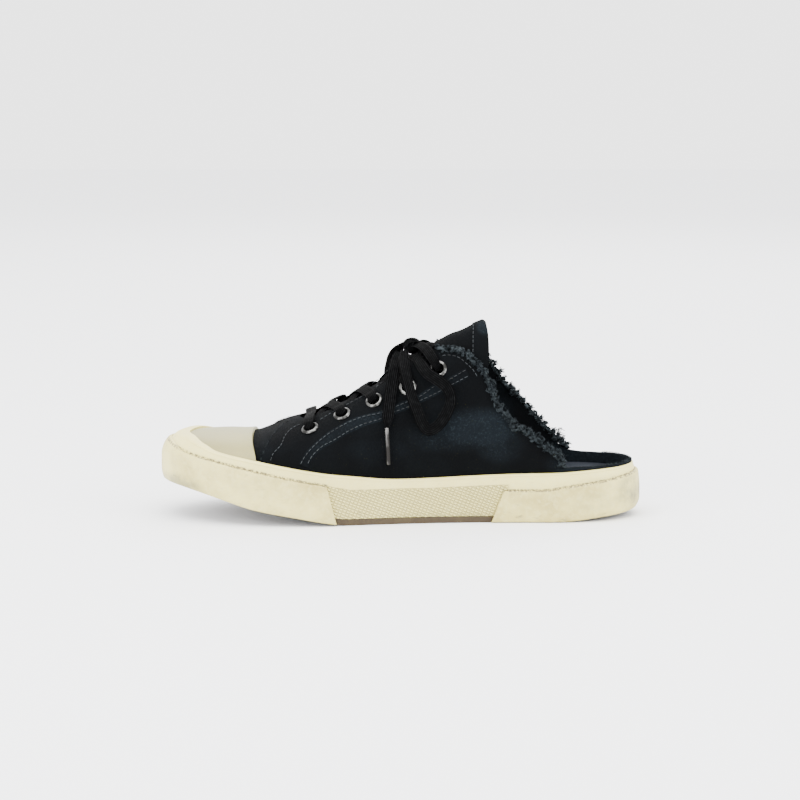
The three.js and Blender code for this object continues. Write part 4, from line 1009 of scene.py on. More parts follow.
cap = sheet_over_last(
    "cap_shell", GAP + CAP_THICKNESS, 0.1 * MM, folds, lambda along: 0 * along + CAP_FOOT
)
rear = smooth_line(side_line(CAP_REAR), 6)
rear = np.vstack([[rear[0, 0], 0], rear, [LENGTH, rear[-1, 1]], [LENGTH, 0]])
carve(cap, side_block(rear))
round_edges(cap, 0.6 * MM, angle=60, segments=3)
cap_finish = Finish("cap_rubber", Roughness=0.46, Coat_Weight=0.08, Coat_Roughness=0.35)
cap_place, cap_axes = cap_finish.place()
cap_cloud = cap_finish.noise(cap_place, 32, detail=4)
cap_speck = cap_finish.noise(cap_place, 520, detail=4, roughness=0.7)
cap_color = cap_finish.blend(cap_cloud.fade(0.3, 0.7), CAP_GREY, CAP_PALE)
cap_rear_dirt = cap_axes[0].fade(-0.1, -0.093) * cap_speck.fade(0.42, 0.62)
cap_color = cap_finish.blend(cap_rear_dirt * 0.25, cap_color, SMUDGE_GREEN)
cap_finish.feed(Base_Color=cap_finish.blend(cap_speck.fade(0.62, 0.72) * 0.3, cap_color, DIRT_BROWN))
cap_finish.feed(Roughness=0.4 + cap_cloud * 0.22)
cap_finish.relief(cap_speck * 0.15 + cap_cloud * 0.8, 0.0005, 0.4)
dress(cap, cap_finish, "cap_rubber", "toe_cap")

# The tongue: a soft tab of the same canvas under the lace, longer than the quarters. Its end is folded
# back into a hem, sewn down once, and rubbed pale at its corner.
TONGUE_OUTER = -UPPER_WALL - 0.5 * MM
TONGUE_INNER = TONGUE_OUTER - 2.2 * MM
HEM_STEP = 0.45 * MM
HEM_WIDTH = 10 * MM
TONGUE_SIDE = {
    "along": [0.255, 0.255, 0.6, 0.655, 0.668, 0.6765, 0.6805, 0.682, 0.676, 0.655, 0.5, 0.38],
    "height": [0.34, 0.6, 1.1, 1.1, 0.985, 0.967, 0.93, 0.8, 0.71, 0.67, 0.5, 0.43],
}
HEM_CORNER = [((0.052, -0.012, 0.119), (0.006, 0.02, 0.006), 1.0)]
TONGUE_SOFT = 0.8 * MM
TONGUE_CREASES = [
    {"along": 0.627, "width": 0.006, "depth": 0.5},
    {"along": 0.585, "width": 0.01, "depth": 0.4},
]
TONGUE_PATCHES = [((0.03, 0, 0.12), (0.03, 0.03, 0.01), 0.15)]


def tongue_roll(along, turn):
    """The tongue's end swells and bends a little, as a padded edge that hands pull on."""
    total = 0.35 * np.sin(turn * 9 + along * 40) * TONGUE_SOFT * soft_step(along, 0.58, 0.68)
    for crease in TONGUE_CREASES:
        off = (along - crease["along"]) / crease["width"]
        total = total - crease["depth"] * MM * np.exp(-(off**2))
    return total * soft_step(along, 0.5, 0.6)


def tongue_sheet(name, outer, inner):
    piece = sheet_over_last(name, outer, inner, tongue_roll, feather)
    flat = side_line(TONGUE_SIDE)
    flat = np.vstack([flat[:4], smooth_line(flat[4:9], 5), flat[9:]])
    carve(piece, side_block(flat), "INTERSECT")
    return piece


tongue = tongue_sheet("tongue_canvas", TONGUE_OUTER, TONGUE_INNER)
round_edges(tongue, 0.5 * MM, angle=60)
hem = tongue_sheet("tongue_hem", TONGUE_OUTER + HEM_STEP, TONGUE_INNER - HEM_STEP)
hem_from = max((a - 0.5) * LENGTH for a in TONGUE_SIDE["along"]) - HEM_WIDTH
carve(hem, side_block([(-LENGTH, 0), (hem_from - 2 * MM, 0), (hem_from + 1 * MM, SKY), (-LENGTH, SKY)]))
round_edges(hem, 0.5 * MM, angle=60)
dress(tongue, canvas("tongue_twill", 0.0, TONGUE_PATCHES), "black_canvas", "tongue")
dress(hem, canvas("hem_twill", 0.1, HEM_CORNER), "black_canvas")

# The sewing. Two rows of lockstitch hold a folded tape along each quarter under its eyelets, and one row
# each holds the quarter's front, its top and the tongue's hem. Where they lie was read off the photograph.
PICTURE = 800
TAPE_HEIGHT = 0.45 * MM
STITCH_LENGTH = 2.2 * MM
STITCH_PITCH = 3.1 * MM
STITCH_RADIUS = 0.24 * MM
TAPE_UPPER_SEEN = [
    *((298, 464), (304, 454), (313, 444), (323, 435), (336, 426.5), (350.5, 419), (365, 414), (379, 411)),
    *((396, 404), (403, 401), (419, 394), (432, 385), (445, 379), (466, 367)),
]
TAPE_LOWER_SEEN = [
    *((308, 468), (313, 459), (323, 449), (336, 442), (350.5, 433), (365, 426.5), (382, 421), (394, 415)),
    *((407, 410), (419, 404), (443, 392.5), (449, 389), (470, 378)),
]
FRONT_SEAM_SEEN = [(270, 463), (273, 454), (281, 445), (285, 436), (291, 429), (300, 424)]
TOP_SEAM_SEEN = [(440, 356), (448, 355), (458, 357), (466, 363), (474, 371), (479, 380)]
STAY_EDGE_SEEN = [(318, 421), (332, 412.5), (348, 404), (366, 394), (384, 381)]


def picture_ray(x, y):
    turn = camera.matrix_world.to_quaternion()
    film = camera.data.sensor_width
    way = Vector(((x / PICTURE - 0.5) * film, (0.5 - y / PICTURE) * film, -LENS_MM))
    return CAMERA_AT, (turn @ way).normalized()


def quarter_skin(over=0.0):
    points = over_last(lambda a, t: QUARTER_STEP + over + folds(a, t), feather)
    rows, columns = points.shape[:2]
    at = np.arange(rows * columns).reshape(rows, columns)
    faces = np.stack([at[:-1, :-1], at[1:, :-1], at[1:, 1:], at[:-1, 1:]], axis=2).reshape(-1, 4)
    return BVHTree.FromPolygons(points.reshape(-1, 3).tolist(), faces.tolist())


bpy.context.view_layer.update()
skin_tree = quarter_skin()


def on_skin(seen, side):
    """A seen place on the lateral quarter, or its like on the medial one, and the way out of it."""
    hit, normal, _, _ = skin_tree.ray_cast(*picture_ray(*seen))
    if side == "medial":
        hit, normal, _, _ = skin_tree.ray_cast(Vector((hit.x, 0.2, hit.z)), Vector((0, -1, 0)))
    outward = -1 if side == "lateral" else 1
    if normal.y * outward < 0:
        normal = -normal
    return np.array(hit), np.array(normal)


def sew_line(seen, side, steps=10):
    line = smooth_line(seen, steps)
    found = [on_skin(place, side) for place in line]
    return np.array([hit for hit, _ in found]), np.array([normal for _, normal in found])


def make_tape(side):
    count, columns = 90, 9
    upper_edge = paced(smooth_line(TAPE_UPPER_SEEN, 10), count)
    lower_edge = paced(smooth_line(TAPE_LOWER_SEEN, 10), count)
    outer = np.zeros((count, columns, 3))
    inner = np.zeros((count, columns, 3))
    for k in range(columns):
        share = k / (columns - 1)
        rise = TAPE_HEIGHT * (1 - (2 * share - 1) ** 8) - 0.1 * MM
        for n in range(count):
            hit, normal = on_skin(upper_edge[n] + (lower_edge[n] - upper_edge[n]) * share, side)
            outer[n, k] = hit + normal * rise
            inner[n, k] = hit - normal * 0.3 * MM
    sheet = closed_loop(np.concatenate([outer, inner[:, ::-1]], axis=1))
    return laid_grid(f"tape_{side}", capped(sheet), smooth=60)


def thread_mesh(name, lines, radii, sides=5):
    """Many short threads as one mesh: lines is threads x points x 3, with a radius for each point."""
    lines = np.asarray(lines)
    count, length = lines.shape[:2]
    way = np.gradient(lines, axis=1)
    way /= np.linalg.norm(way, axis=2, keepdims=True) + 1e-12
    up = np.where(np.abs(way[..., 2:]) < 0.9, np.array([0, 0, 1.0]), np.array([1.0, 0, 0]))
    first = np.cross(way, up)
    first /= np.linalg.norm(first, axis=2, keepdims=True)
    second = np.cross(way, first)
    angle = np.linspace(0, math.tau, sides, endpoint=False)
    ring_of = first[:, :, None] * np.cos(angle)[:, None] + second[:, :, None] * np.sin(angle)[:, None]
    radii = np.broadcast_to(radii, (count, length))
    points = lines[:, :, None] + ring_of * radii[..., None, None]
    at = np.arange(count * length * sides).reshape(count, length, sides)
    after = np.roll(at, -1, axis=2)
    quads = np.stack([at[:, :-1], at[:, 1:], after[:, 1:], after[:, :-1]], axis=3).reshape(-1, 4)
    mesh = bpy.data.meshes.new(name)
    ends = [list(row) for row in at[:, 0]] + [list(row[::-1]) for row in at[:, -1]]
    mesh.from_pydata(points.reshape(-1, 3).tolist(), [], quads.tolist() + ends)
    mesh.update()
    piece = bpy.data.objects.new(name, mesh)
    bpy.context.collection.objects.link(piece)
    face_out(piece)
    bpy.ops.object.shade_smooth()
    return piece


def stitches(line, normals, lift=0.0):
    """Short bulged threads along a sewing line, one for each stitch, with their ends in the canvas."""
    run = run_along(line)
    starts = np.arange(STITCH_PITCH / 2, run[-1] - STITCH_LENGTH, STITCH_PITCH)
    places = starts[:, None] + np.linspace(0, STITCH_LENGTH, 6)[None, :]
    arched = (0.24 * np.sin(np.linspace(0, np.pi, 6)) - 0.06) * MM + lift
    threads = []
    for axis in range(3):
        base = np.interp(places, run, line[:, axis])
        out = np.interp(places, run, normals[:, axis])
        threads.append(base + out * arched)
    return np.stack(threads, axis=2)


STITCH_TAPER = STITCH_RADIUS * np.array([0.5, 0.95, 1, 1, 0.95, 0.5])
THREAD_DARK = (0.002, 0.003, 0.0038)
THREAD_WASHED = (0.014, 0.019, 0.022)
TAPE_PATCHES = [
    ((0.0, -0.03, 0.06), (0.08, 0, 0.05), 0.2),
    ((0.0, 0.03, 0.06), (0.08, 0, 0.05), 0.2),
]
SEAM_INSET = np.array([1.2, 2.2])
thread_finish = Finish("sewing_thread", Roughness=0.8)
thread_place, _ = thread_finish.place()
thread_cloud = thread_finish.noise(thread_place, 160, detail=2)
thread_color = thread_finish.blend(thread_cloud.fade(0.35, 0.65), THREAD_DARK, THREAD_WASHED)
thread_finish.feed(Base_Color=thread_color)
thread_finish.relief(thread_finish.noise(thread_place, 2500, detail=1), 0.0001)

tape_finish = canvas("tape_twill", 0.16, TAPE_PATCHES)
for side in ("lateral", "medial"):
    dress(make_tape(side), tape_finish, "black_canvas")
    rows = []
    for seen, lift in (
        (TAPE_UPPER_SEEN + SEAM_INSET, TAPE_HEIGHT),
        (TAPE_LOWER_SEEN - SEAM_INSET, TAPE_HEIGHT),
        (FRONT_SEAM_SEEN, 0.0),
        (TOP_SEAM_SEEN, 0.0),
        (STAY_EDGE_SEEN, 0.0),
    ):
        line, normals = sew_line(seen, side)
        rows.append(stitches(line, normals, lift))
    sewing = thread_mesh(f"stitches_{side}", np.concatenate(rows), STITCH_TAPER)
    dress(sewing, thread_finish, "frayed_threads")

hem_line, hem_normals = [], []
for across in np.linspace(-0.82, 0.82, 60):
    point, normal = on_last(0.5 + (hem_from - 0.2 * MM) / LENGTH, across, TONGUE_OUTER + 0.1 * MM)
    hem_line.append(point)
    hem_normals.append(normal)
hem_threads = stitches(np.array(hem_line), np.array(hem_normals), 0.5 * MM)
dress(thread_mesh("stitches_hem", hem_threads, STITCH_TAPER), thread_finish, "frayed_threads")

# The eyelets: two-part rolled steel, five to a side, crimped through the canvas. Their lips are polished
# by the lace and their inner turn has gone dull.
FLANGE_SEAT = QUARTER_STEP + GAP
FLANGE_HEIGHT = 0.9 * MM
EYELET_PROFILE = [
    *((3.15, -1.6), (3.15, 0.4), (3.2, 1.1), (3.45, 1.65), (3.95, 1.98), (4.55, 1.9), (5.05, 1.6)),
    *((5.4, 1.25), (5.5, 1.05), (5.2, 0.98), (4.4, 1.2), (3.8, 0.9), (3.7, 0.3), (3.7, -1.6)),
]


def make_eyelet(name, along, across):
    turns = 48
    profile = smooth_line(np.array(EYELET_PROFILE) * MM, 3, closed=True)
    angle = np.linspace(0, math.tau, turns + 1)
    point, normal = on_last(along, across, 0)
    spin = np.array(Vector(normal).to_track_quat("Z", "Y").to_matrix())
    ring_points = np.stack(
        [
            profile[None, :, 0] * np.cos(angle)[:, None],
            profile[None, :, 0] * np.sin(angle)[:, None],
            np.broadcast_to(profile[None, :, 1], (turns + 1, len(profile))),
        ],
        axis=2,
    )
    return laid_grid(name, closed_loop(ring_points @ spin.T + point), smooth=60)


STEEL_BRIGHT = (0.15, 0.15, 0.145)
STEEL_DULL = (0.022, 0.022, 0.021)
steel = Finish("eyelet_steel", Metallic=1.0, Roughness=0.28)
steel_place, _ = steel.place()
steel_cloud = steel.noise(steel_place, 300, detail=4)
steel_scratch = steel.noise(steel_place, 900, detail=3, stretch=(1, 1, 0.1))
steel.feed(Base_Color=steel.blend(steel_cloud.fade(0.34, 0.6), STEEL_BRIGHT, STEEL_DULL))
steel.feed(Roughness=0.2 + steel_cloud.fade(0.35, 0.75) * 0.3)
steel.relief(steel_scratch * 0.5 + steel_cloud * 0.5, 0.00012, 0.5)
for side, sign in (("lateral", -1), ("medial", 1)):
    for number, (along, across) in enumerate(EYELETS, 1):
        eyelet = make_eyelet(f"steel_eyelet_{side}_{number}", along, sign * across)
        dress(eyelet, steel, "eyelet_metal", f"eyelet_{side}_{number}")

# The lace: one flat black cotton lace, woven with lengthwise ribs. A bar and three crossings go down into
# the eyelets from outside, the last crossing stays under the quarters, and the rest is tied in a bow.
LACE_WIDTH = 7.2 * MM
LACE_THICKNESS = 1.3 * MM
LACE_SEAT = FLANGE_SEAT + FLANGE_HEIGHT + 2.6 * GAP + LACE_THICKNESS / 2
ON_TONGUE = LACE_THICKNESS / 2 + 1.1 * MM - UPPER_WALL - 0.5 * MM
OVER_EDGE = QUARTER_STEP + GAP + LACE_THICKNESS
EDGE_MARGIN = 2.5 * MM
STRAND_SLANT = 0.016
LACE_RIBS = 6
RIB_DEPTH = 0.13 * MM
LACE_BLACK = (0.0004, 0.0004, 0.0005)
LACE_SOFT = (0.0013, 0.0014, 0.0015)
# A paler grey for the rib crests: a painted highlight.
LACE_CREST_HIGHLIGHT = (0.011, 0.0114, 0.012)

lace_finish = Finish("lace_cotton", Roughness=0.72)
lace_finish.shader.inputs["Specular IOR Level"].default_value = 0.02
lace_place, _ = lace_finish.place()
_, (lace_u, lace_v, _) = lace_finish.place("UV")
lace_rib = (lace_v * (math.tau * LACE_RIBS / LACE_WIDTH)).sine()
lace_twist = ((lace_u + lace_rib * 0.0003) * (math.tau / (0.9 * MM))).sine()
lace_lint = lace_finish.noise(lace_place, 420, detail=4, roughness=0.7)
lace_color = lace_finish.blend(lace_lint.fade(0.35, 0.75), LACE_BLACK, LACE_SOFT)
# Painted highlight: the crests of the ribs are made paler, as where light catches them, while the grooves
# stay near black.
lace_crest_highlight = lace_rib.fade(0.6, 0.98) * (0.35 + 0.65 * lace_lint.fade(0.4, 0.7))
lace_finish.feed(Base_Color=lace_finish.blend(lace_crest_highlight, lace_color, LACE_CREST_HIGHLIGHT))
lace_finish.relief(lace_twist * 0.5 + lace_lint * 0.6, 0.0002, 0.7)


def unit(v):
    return v / (np.linalg.norm(v, axis=-1, keepdims=True) + 1e-12)


def ribbon(name, line, outward, width=1.0, thickness=1.0):
    """A flat ribbed lace along a line, its face turned outward, so many times as wide and thick."""
    line, outward = np.asarray(line, float), np.asarray(outward, float)
    way = unit(np.gradient(line, axis=0))
    side = np.cross(way, unit(outward))
    strength = np.linalg.norm(side, axis=1)
    sound = np.flatnonzero(strength > 0.35)
    nearest = sound[np.argmin(np.abs(np.arange(len(line))[:, None] - sound[None, :]), axis=1)]
    side = unit(side[nearest])
    side = unit(side - way * (side * way).sum(axis=1, keepdims=True))
    up = np.cross(side, way)
    s = np.sin(np.linspace(-np.pi / 2, np.pi / 2, 27))
    swell = LACE_THICKNESS / 2 * (1 - np.abs(s) ** 5) ** 0.5 * 0.9
    ribs = RIB_DEPTH * np.cos(s * np.pi * LACE_RIBS) * (1 - s**8)
    over = np.concatenate([s, s[-2:0:-1]]) * LACE_WIDTH / 2
    height = np.concatenate([swell + ribs, -(swell + ribs)[-2:0:-1]])
    width = np.broadcast_to(width, len(line))[:, None, None]
    thickness = np.broadcast_to(thickness, len(line))[:, None, None]
    across = side[:, None] * over[None, :, None] * width
    points = line[:, None] + across + up[:, None] * height[None, :, None] * thickness
    points = capped(closed_loop(points))
    run = run_along(line)
    run = np.concatenate([run[:1], run, run[-1:]])
    flat = np.append(over, over[0])
    uv = np.stack(np.broadcast_arrays(run[:, None], flat[None, :]), axis=2)
    return laid_grid(name, points, uv, smooth=70)


def joined(name, pieces):
    tool_on(pieces[0])
    for piece in pieces:
        piece.select_set(True)
    if len(pieces) > 1:
        bpy.ops.object.join()
    pieces[0].name = pieces[0].data.name = name
    return pieces[0]


def throat_edge(along, side, beyond):
    """The throat's edge on one side as a share of the last's half width, and more of the same outwards."""
    lateral, medial = last_point(along, -1)[1], last_point(along, 1)[1]
    half = float(read(THROAT, "half", np.array(along)) * half_width(np.array(along)))
    edge = THROAT_SHIFT + side * (half + beyond)
    return (edge - (lateral + medial) / 2) / ((medial - lateral) / 2)


def lace_over(name, rows, into_holes=()):
    """A lace over the last; into_holes gives the ends, first or last, that dive through their eyelets."""
    line = smooth_line(rows, 9)
    found = [on_last(*row) for row in line]
    points = np.array([point for point, _ in found])
    outward = np.array([normal for _, normal in found])
    width = np.ones(len(points))
    for end in into_holes:
        order = slice(None) if end == "first" else slice(None, None, -1)
        points, outward, width = points[order], outward[order], width[order]
        deep = points[0] - outward[0] * (LACE_SEAT + 3.4 * MM)
        lip = points[0] - outward[0] * 1.6 * MM
        bend = smooth_line([deep, deep + (lip - deep) * 0.5, lip, points[3], points[6]], 6)
        points = np.vstack([bend[:-1], points[6:]])
        outward = np.vstack([np.repeat(outward[:1], len(bend) - 1, axis=0), outward[6:]])
        width = np.concatenate([np.linspace(0.62, 0.95, len(bend) - 1), width[6:]])
        points, outward, width = points[order], outward[order], width[order]
    return ribbon(name, points, outward, width, 1 + 1.2 * (1 - width))


def bar_rows():
    along, across = EYELETS[0]
    rows = []
    for side in (-1, 1):
        edge = throat_edge(along, side, EDGE_MARGIN)
        half = [
            (along, side * across, LACE_SEAT),
            (along, (side * across + edge) / 2, LACE_SEAT),
            (along, edge, OVER_EDGE),
            (along, throat_edge(along, side, -EDGE_MARGIN), OVER_EDGE - LACE_THICKNESS / 2),
        ]
        middle = (along, throat_edge(along, 0, 0), ON_TONGUE + LACE_THICKNESS)
        rows += half if side == -1 else [middle] + half[::-1]
    return rows


def crossing_rows(level, side):
    (before, _), (along, across) = EYELETS[level - 1], EYELETS[level]
    start, middle = before + STRAND_SLANT, (before + along) / 2
    outer = throat_edge(along, side, EDGE_MARGIN)
    over_tongue = ON_TONGUE + LACE_THICKNESS * (1.35 if side == -1 else 0.45)
    inside = along - STRAND_SLANT
    return [
        (along, side * across, LACE_SEAT),
        (along - STRAND_SLANT / 4, (side * across + outer) / 2, LACE_SEAT),
        (along - STRAND_SLANT / 2, outer, OVER_EDGE),
        (inside, throat_edge(inside, side, -EDGE_MARGIN), OVER_EDGE - LACE_THICKNESS / 2),
        (middle, throat_edge(middle, 0, 0), over_tongue),
        (start, throat_edge(start, -side, -2 * EDGE_MARGIN), ON_TONGUE),
        (start - STRAND_SLANT / 4, throat_edge(start, -side, EDGE_MARGIN), ON_TONGUE - 0.2 * MM),
    ]


def last_crossing_rows(side):
    start, end = EYELETS[3][0] + STRAND_SLANT, EYELETS[4][0] - STRAND_SLANT
    middle = (start + end) / 2
    return [
        (start, throat_edge(start, -side, -2 * EDGE_MARGIN), ON_TONGUE),
        (middle, throat_edge(middle, 0, 0), ON_TONGUE + (0.9 * MM if side == -1 else 0)),
        (end, throat_edge(end, side, -2 * EDGE_MARGIN), ON_TONGUE),
    ]


dress(lace_over("lace_bar_woven", bar_rows(), ("first", "last")), lace_finish, "lace_cloth", "lace_bar")
for level in (1, 2, 3, 4):
    strands = []
    for side in (-1, 1):
        rows = last_crossing_rows(side) if level == 4 else crossing_rows(level, side)
        strands.append(lace_over(f"lace_strand_{level}_{side}", rows, () if level == 4 else ("first",)))
    crossing = joined(f"lace_crossing_woven_{level}", strands)
    dress(crossing, lace_finish, "lace_cloth", f"lace_crossing_{level}")

# The bow: from the top eyelets the two strands meet in a flat wrapped knot, and each comes out of it as a
# loop and an end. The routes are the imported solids' own, with the way that the lace faces at each stop.
KNOT_AT = (7.5, 0, 106)
STRAND_LATERAL = [(22.5, -26.8, 95.6), (20.6, -24.2, 99.6), (17, -18, 104.4), (12.5, -9.5, 107.2), KNOT_AT]
STRAND_MEDIAL = [(22.6, 23.4, 95.2), (20.6, 21, 99.4), (17, 15.6, 104.2), (12.5, 8.5, 107.2), KNOT_AT]
LOOP_LATERAL = [
    *((2.6, -8, 103.4), (2, -15, 99.6), (3.2, -26, 92.2), (5, -31.4, 85.6), (6.8, -34.6, 79)),
    *((10.5, -36.6, 69.6), (13.5, -37.2, 62.2), (17.2, -37.2, 58.2), (23, -36.8, 61), (28.5, -35.6, 69)),
    *((31, -34.6, 77), (28.6, -34, 84), (22.8, -33, 88.8), (16.8, -30.6, 92.6), (12.4, -23.4, 97.6)),
    (8.6, -13.4, 101.8),
]
LOOP_MEDIAL = [
    *((3, 7.8, 105.6), (-1.8, 10.6, 102), (-4.8, 15.5, 96), (-6.2, 20.5, 90.4), (-7.2, 25.5, 85.2)),
    *((-7, 31, 79), (-5.5, 36, 72), (-1.5, 39.2, 65), (5.6, 39.4, 61.8), (12.6, 37, 66.6)),
    *((17, 33.8, 74.6), (18, 30.6, 83.6), (16.2, 26, 91.6), (13, 19, 98), (9.8, 11.2, 100.8)),
]
END_LATERAL = [
    *((-0.8, -5.6, 102), (-2.2, -11.2, 98.8), (-3.8, -19.9, 93.6), (-5.4, -26.6, 84.6)),
    *((-6.6, -31.6, 75.6), (-7.6, -35, 67.2), (-8.3, -38.4, 59.6)),
]
END_MEDIAL = [
    *((3, 7.4, 99), (4, 14.6, 96.6), (4.6, 23, 91.6), (5, 29, 82.2), (5, 31.8, 73)),
    *((4.8, 32.9, 64.6), (4.4, 35, 57.8)),
]
HANGS_BELOW = 72
KNOT_UNDER = [(15.5, -20, 97.5), (10, -9, 99.4), (8, 0, 100), (9.5, 9, 99.4), (14.5, 18, 97.3)]
KNOT_WRAPS = [
    {"width": 4.9, "height": 3.4, "tilt": 0.25, "shift": -0.9},
    {"width": 4.3, "height": 3.0, "tilt": -0.5, "shift": 1.2},
    {"width": 3.4, "height": 2.6, "tilt": 0.9, "shift": 0.2},
]
KNOT_HEART = {"from_centre": (-0.6, 0, -1.3), "radii": (5.2, 5.4, 4.1)}


def loose_face(line):
    """A loose lace hangs flat against the quarter and turns its face up towards the knot."""
    rise = np.clip((line[:, 2] / MM - HANGS_BELOW) / (KNOT_AT[2] - HANGS_BELOW), 0, None)
    out = np.where(line[:, 1] < 0, -1.0, 1.0)
    return np.column_stack([0 * out, out, rise])


def make_loop(name, route):
    line = paced(smooth_line(np.array(route) * MM, 10), 90)
    share = np.linspace(0, 1, len(line))[:, None]
    facing_out = loose_face(line)
    sway = np.column_stack([np.sin(share[:, 0] * np.pi * 2) * 0.55, 0 * share[:, 0], 0 * share[:, 0]])
    pinched = 0.72 + 0.28 * soft_step(np.minimum(share[:, 0], 1 - share[:, 0]), 0.0, 0.12)
    return ribbon(name, line, facing_out + sway, pinched, 1 + 0.6 * (1 - pinched)), line


def make_end(name, route):
    line = paced(smooth_line(np.array(route) * MM, 10), 60)
    share = np.linspace(0, 1, len(line))
    crimped = 0.75 + 0.25 * soft_step(share, 0, 0.15)
    crimped = crimped * (1 - 0.62 * soft_step(share, 0.86, 1.0))
    return ribbon(name, line, loose_face(line), crimped, 1 + 0.9 * (1 - crimped)), line


def make_knot():
    centre = np.array(KNOT_AT) * MM
    pieces = []
    for strand, eyelet_side in ((STRAND_LATERAL, -1), (STRAND_MEDIAL, 1)):
        route = np.array(strand) * MM
        hole, normal = on_last(EYELETS[4][0], eyelet_side * EYELETS[4][1], 0)
        route = np.vstack([hole - normal * 3 * MM, hole + normal * 1.2 * MM, route[1:]])
        line = paced(smooth_line(route, 9), 50)
        width = 0.66 + 0.34 * soft_step(np.linspace(0, 1, 50), 0.05, 0.35)
        face = loose_face(line) + (0, 0, 0.4)
        pieces.append(ribbon("knot_strand", line, face, width, 1 + 1.1 * (1 - width)))
    line = paced(smooth_line(np.array(KNOT_UNDER) * MM, 9), 40)
    pieces.append(ribbon("knot_under", line, loose_face(line) + (-0.5, 0, 0.2), 1.0, 1.3))
    angle = np.linspace(0, math.tau, 64)
    for wrap in KNOT_WRAPS:
        high = np.sin(angle) * wrap["height"]
        flat = np.column_stack([np.cos(angle) * wrap["width"], 0 * angle + wrap["shift"], high]) * MM
        line = flat @ np.array(Matrix.Rotation(wrap["tilt"], 3, "Z")).T + centre
        pieces.append(ribbon("knot_wrap", line, line - centre, 0.98))
    bpy.ops.object.select_all(action="DESELECT")
    heart_at = centre + np.array(KNOT_HEART["from_centre"]) * MM
    bpy.ops.mesh.primitive_uv_sphere_add(segments=32, ring_count=16, radius=MM, location=heart_at)
    heart = bpy.context.object
    heart.scale = KNOT_HEART["radii"]
    bpy.ops.object.transform_apply(location=True, rotation=True, scale=True)
    pieces.append(heart)
    return joined("lace_knot_woven", pieces)


AGLET_LENGTH = 21.5 * MM
AGLET_RADIUS = 1.38 * MM
AGLET_GRIP = 1.2 * MM
AGLET_LEAN = 0.1


def make_aglet(name, route):
    end = np.array(route[-1]) * MM
    down = unit(np.array([AGLET_LEAN / 2, math.copysign(AGLET_LEAN, end[1]), -1]))
    start = end + down * (GAP + LACE_THICKNESS / 2 - AGLET_GRIP)
    share = np.linspace(0, 1, 40)
    line = start + down * (share * (AGLET_LENGTH + AGLET_GRIP))[:, None]
    crimp = 1 - 0.08 * (np.sin(share * 40) > 0.4) * (share < 0.3)
    flare = AGLET_RADIUS * crimp * np.where(share > 0.97, 0.8, 1)
    return thread_mesh(name, [line], flare, sides=20)


aglet_steel = Finish("aglet_steel", Metallic=1.0, Roughness=0.3)
aglet_place, _ = aglet_steel.place()
aglet_cloud = aglet_steel.noise(aglet_place, 260, detail=4, stretch=(1, 1, 0.3))
aglet_color = aglet_steel.blend(aglet_cloud.fade(0.36, 0.6), (0.13, 0.127, 0.124), (0.02, 0.019, 0.018))
aglet_steel.feed(Base_Color=aglet_color)
aglet_steel.feed(Roughness=0.22 + aglet_cloud.fade(0.3, 0.7) * 0.3)
aglet_steel.relief(aglet_cloud, 0.00015, 0.6)

knot = make_knot()
dress(knot, lace_finish, "lace_cloth", "lace_knot")
for side, loop_route, end_route in (
    ("lateral", LOOP_LATERAL, END_LATERAL),
    ("medial", LOOP_MEDIAL, END_MEDIAL),
):
    loop, loop_line = make_loop(f"lace_loop_woven_{side}", loop_route)
    dress(loop, lace_finish, "lace_cloth", f"lace_loop_{side}")
    aglet = make_aglet(f"lace_tip_{side}", end_route)
    dress(aglet, aglet_steel, "aglet_metal", f"aglet_{side}")
    end, end_line = make_end(f"lace_end_woven_{side}", end_route)
    dress(end, lace_finish, "lace_cloth", f"lace_end_{side}")

# The torn edges: each quarter was cut off behind the top eyelet and washed, so its weft has fallen out and
# the warp stands up in a thick curly fringe. Finer fuzz edges the vamp's seam and the heel's rim.
FRINGE_CURLS = 230
CURL_THREADS = 8
FRINGE_RADIUS = 0.2 * MM
FRINGE_SEED = 11
FUZZ_SEED = 23
EDGE_PLACES = 400
CORE_RADIUS = 1.45 * MM
CORE_AWAY = 1.1 * MM
FUZZ_RADIUS = 0.09 * MM
FRAY_DARK = (0.0015, 0.0021, 0.0025)
FRAY_PALE = (0.029, 0.0355, 0.039)
FRAY_DUSTY = (0.009, 0.0115, 0.0138)

fray_finish = Finish("frayed_cotton", Roughness=0.95)
fray_finish.shader.inputs["Specular IOR Level"].default_value = 0.04
fray_place, _ = fray_finish.place()
fray_patch = fray_finish.noise(fray_place, 480, detail=2)
fray_cloud = fray_finish.noise(fray_place, 110, detail=3)
fray_color = fray_finish.blend(fray_patch.fade(0.34, 0.64), FRAY_DARK, FRAY_PALE)
fray_color = fray_finish.blend(fray_cloud.fade(0.45, 0.75) * 0.6, fray_color, FRAY_DUSTY)
fray_finish.feed(Base_Color=fray_color)
fray_finish.relief(fray_finish.noise(fray_place, 2600, detail=1), 0.0001)


def from_side(x, z, sign):
    """The quarter's skin as met from one side, and the way out of it."""
    hit, normal, _, _ = skin_tree.ray_cast(Vector((x, sign * 0.2, z)), Vector((0, -sign, 0)))
    return (hit, normal) if hit is None or normal.y * sign > 0 else (hit, -normal)


def collar_edge(side, count):
    """Places along a torn edge in the middle of the canvas, the way out of it, and the way off its edge."""
    rows = slice(-2 if side == "lateral" else -1)
    line = paced(smooth_line(side_line(COLLAR, side, rows), 12), count)
    way = unit(np.gradient(line, axis=0))
    away = np.column_stack([-way[:, 1], 0 * way[:, 0], way[:, 0]])
    sign = -1 if side == "lateral" else 1
    centres, outs = [], []
    for x, z in line:
        hit, normal = from_side(x, z - 0.8 * MM, sign)
        centre = np.array(hit) - np.array(normal) * (UPPER_WALL + QUARTER_STEP) / 2
        centres.append((x, centre[1], z))
        outs.append(normal)
    return np.array(centres), np.array(outs), away


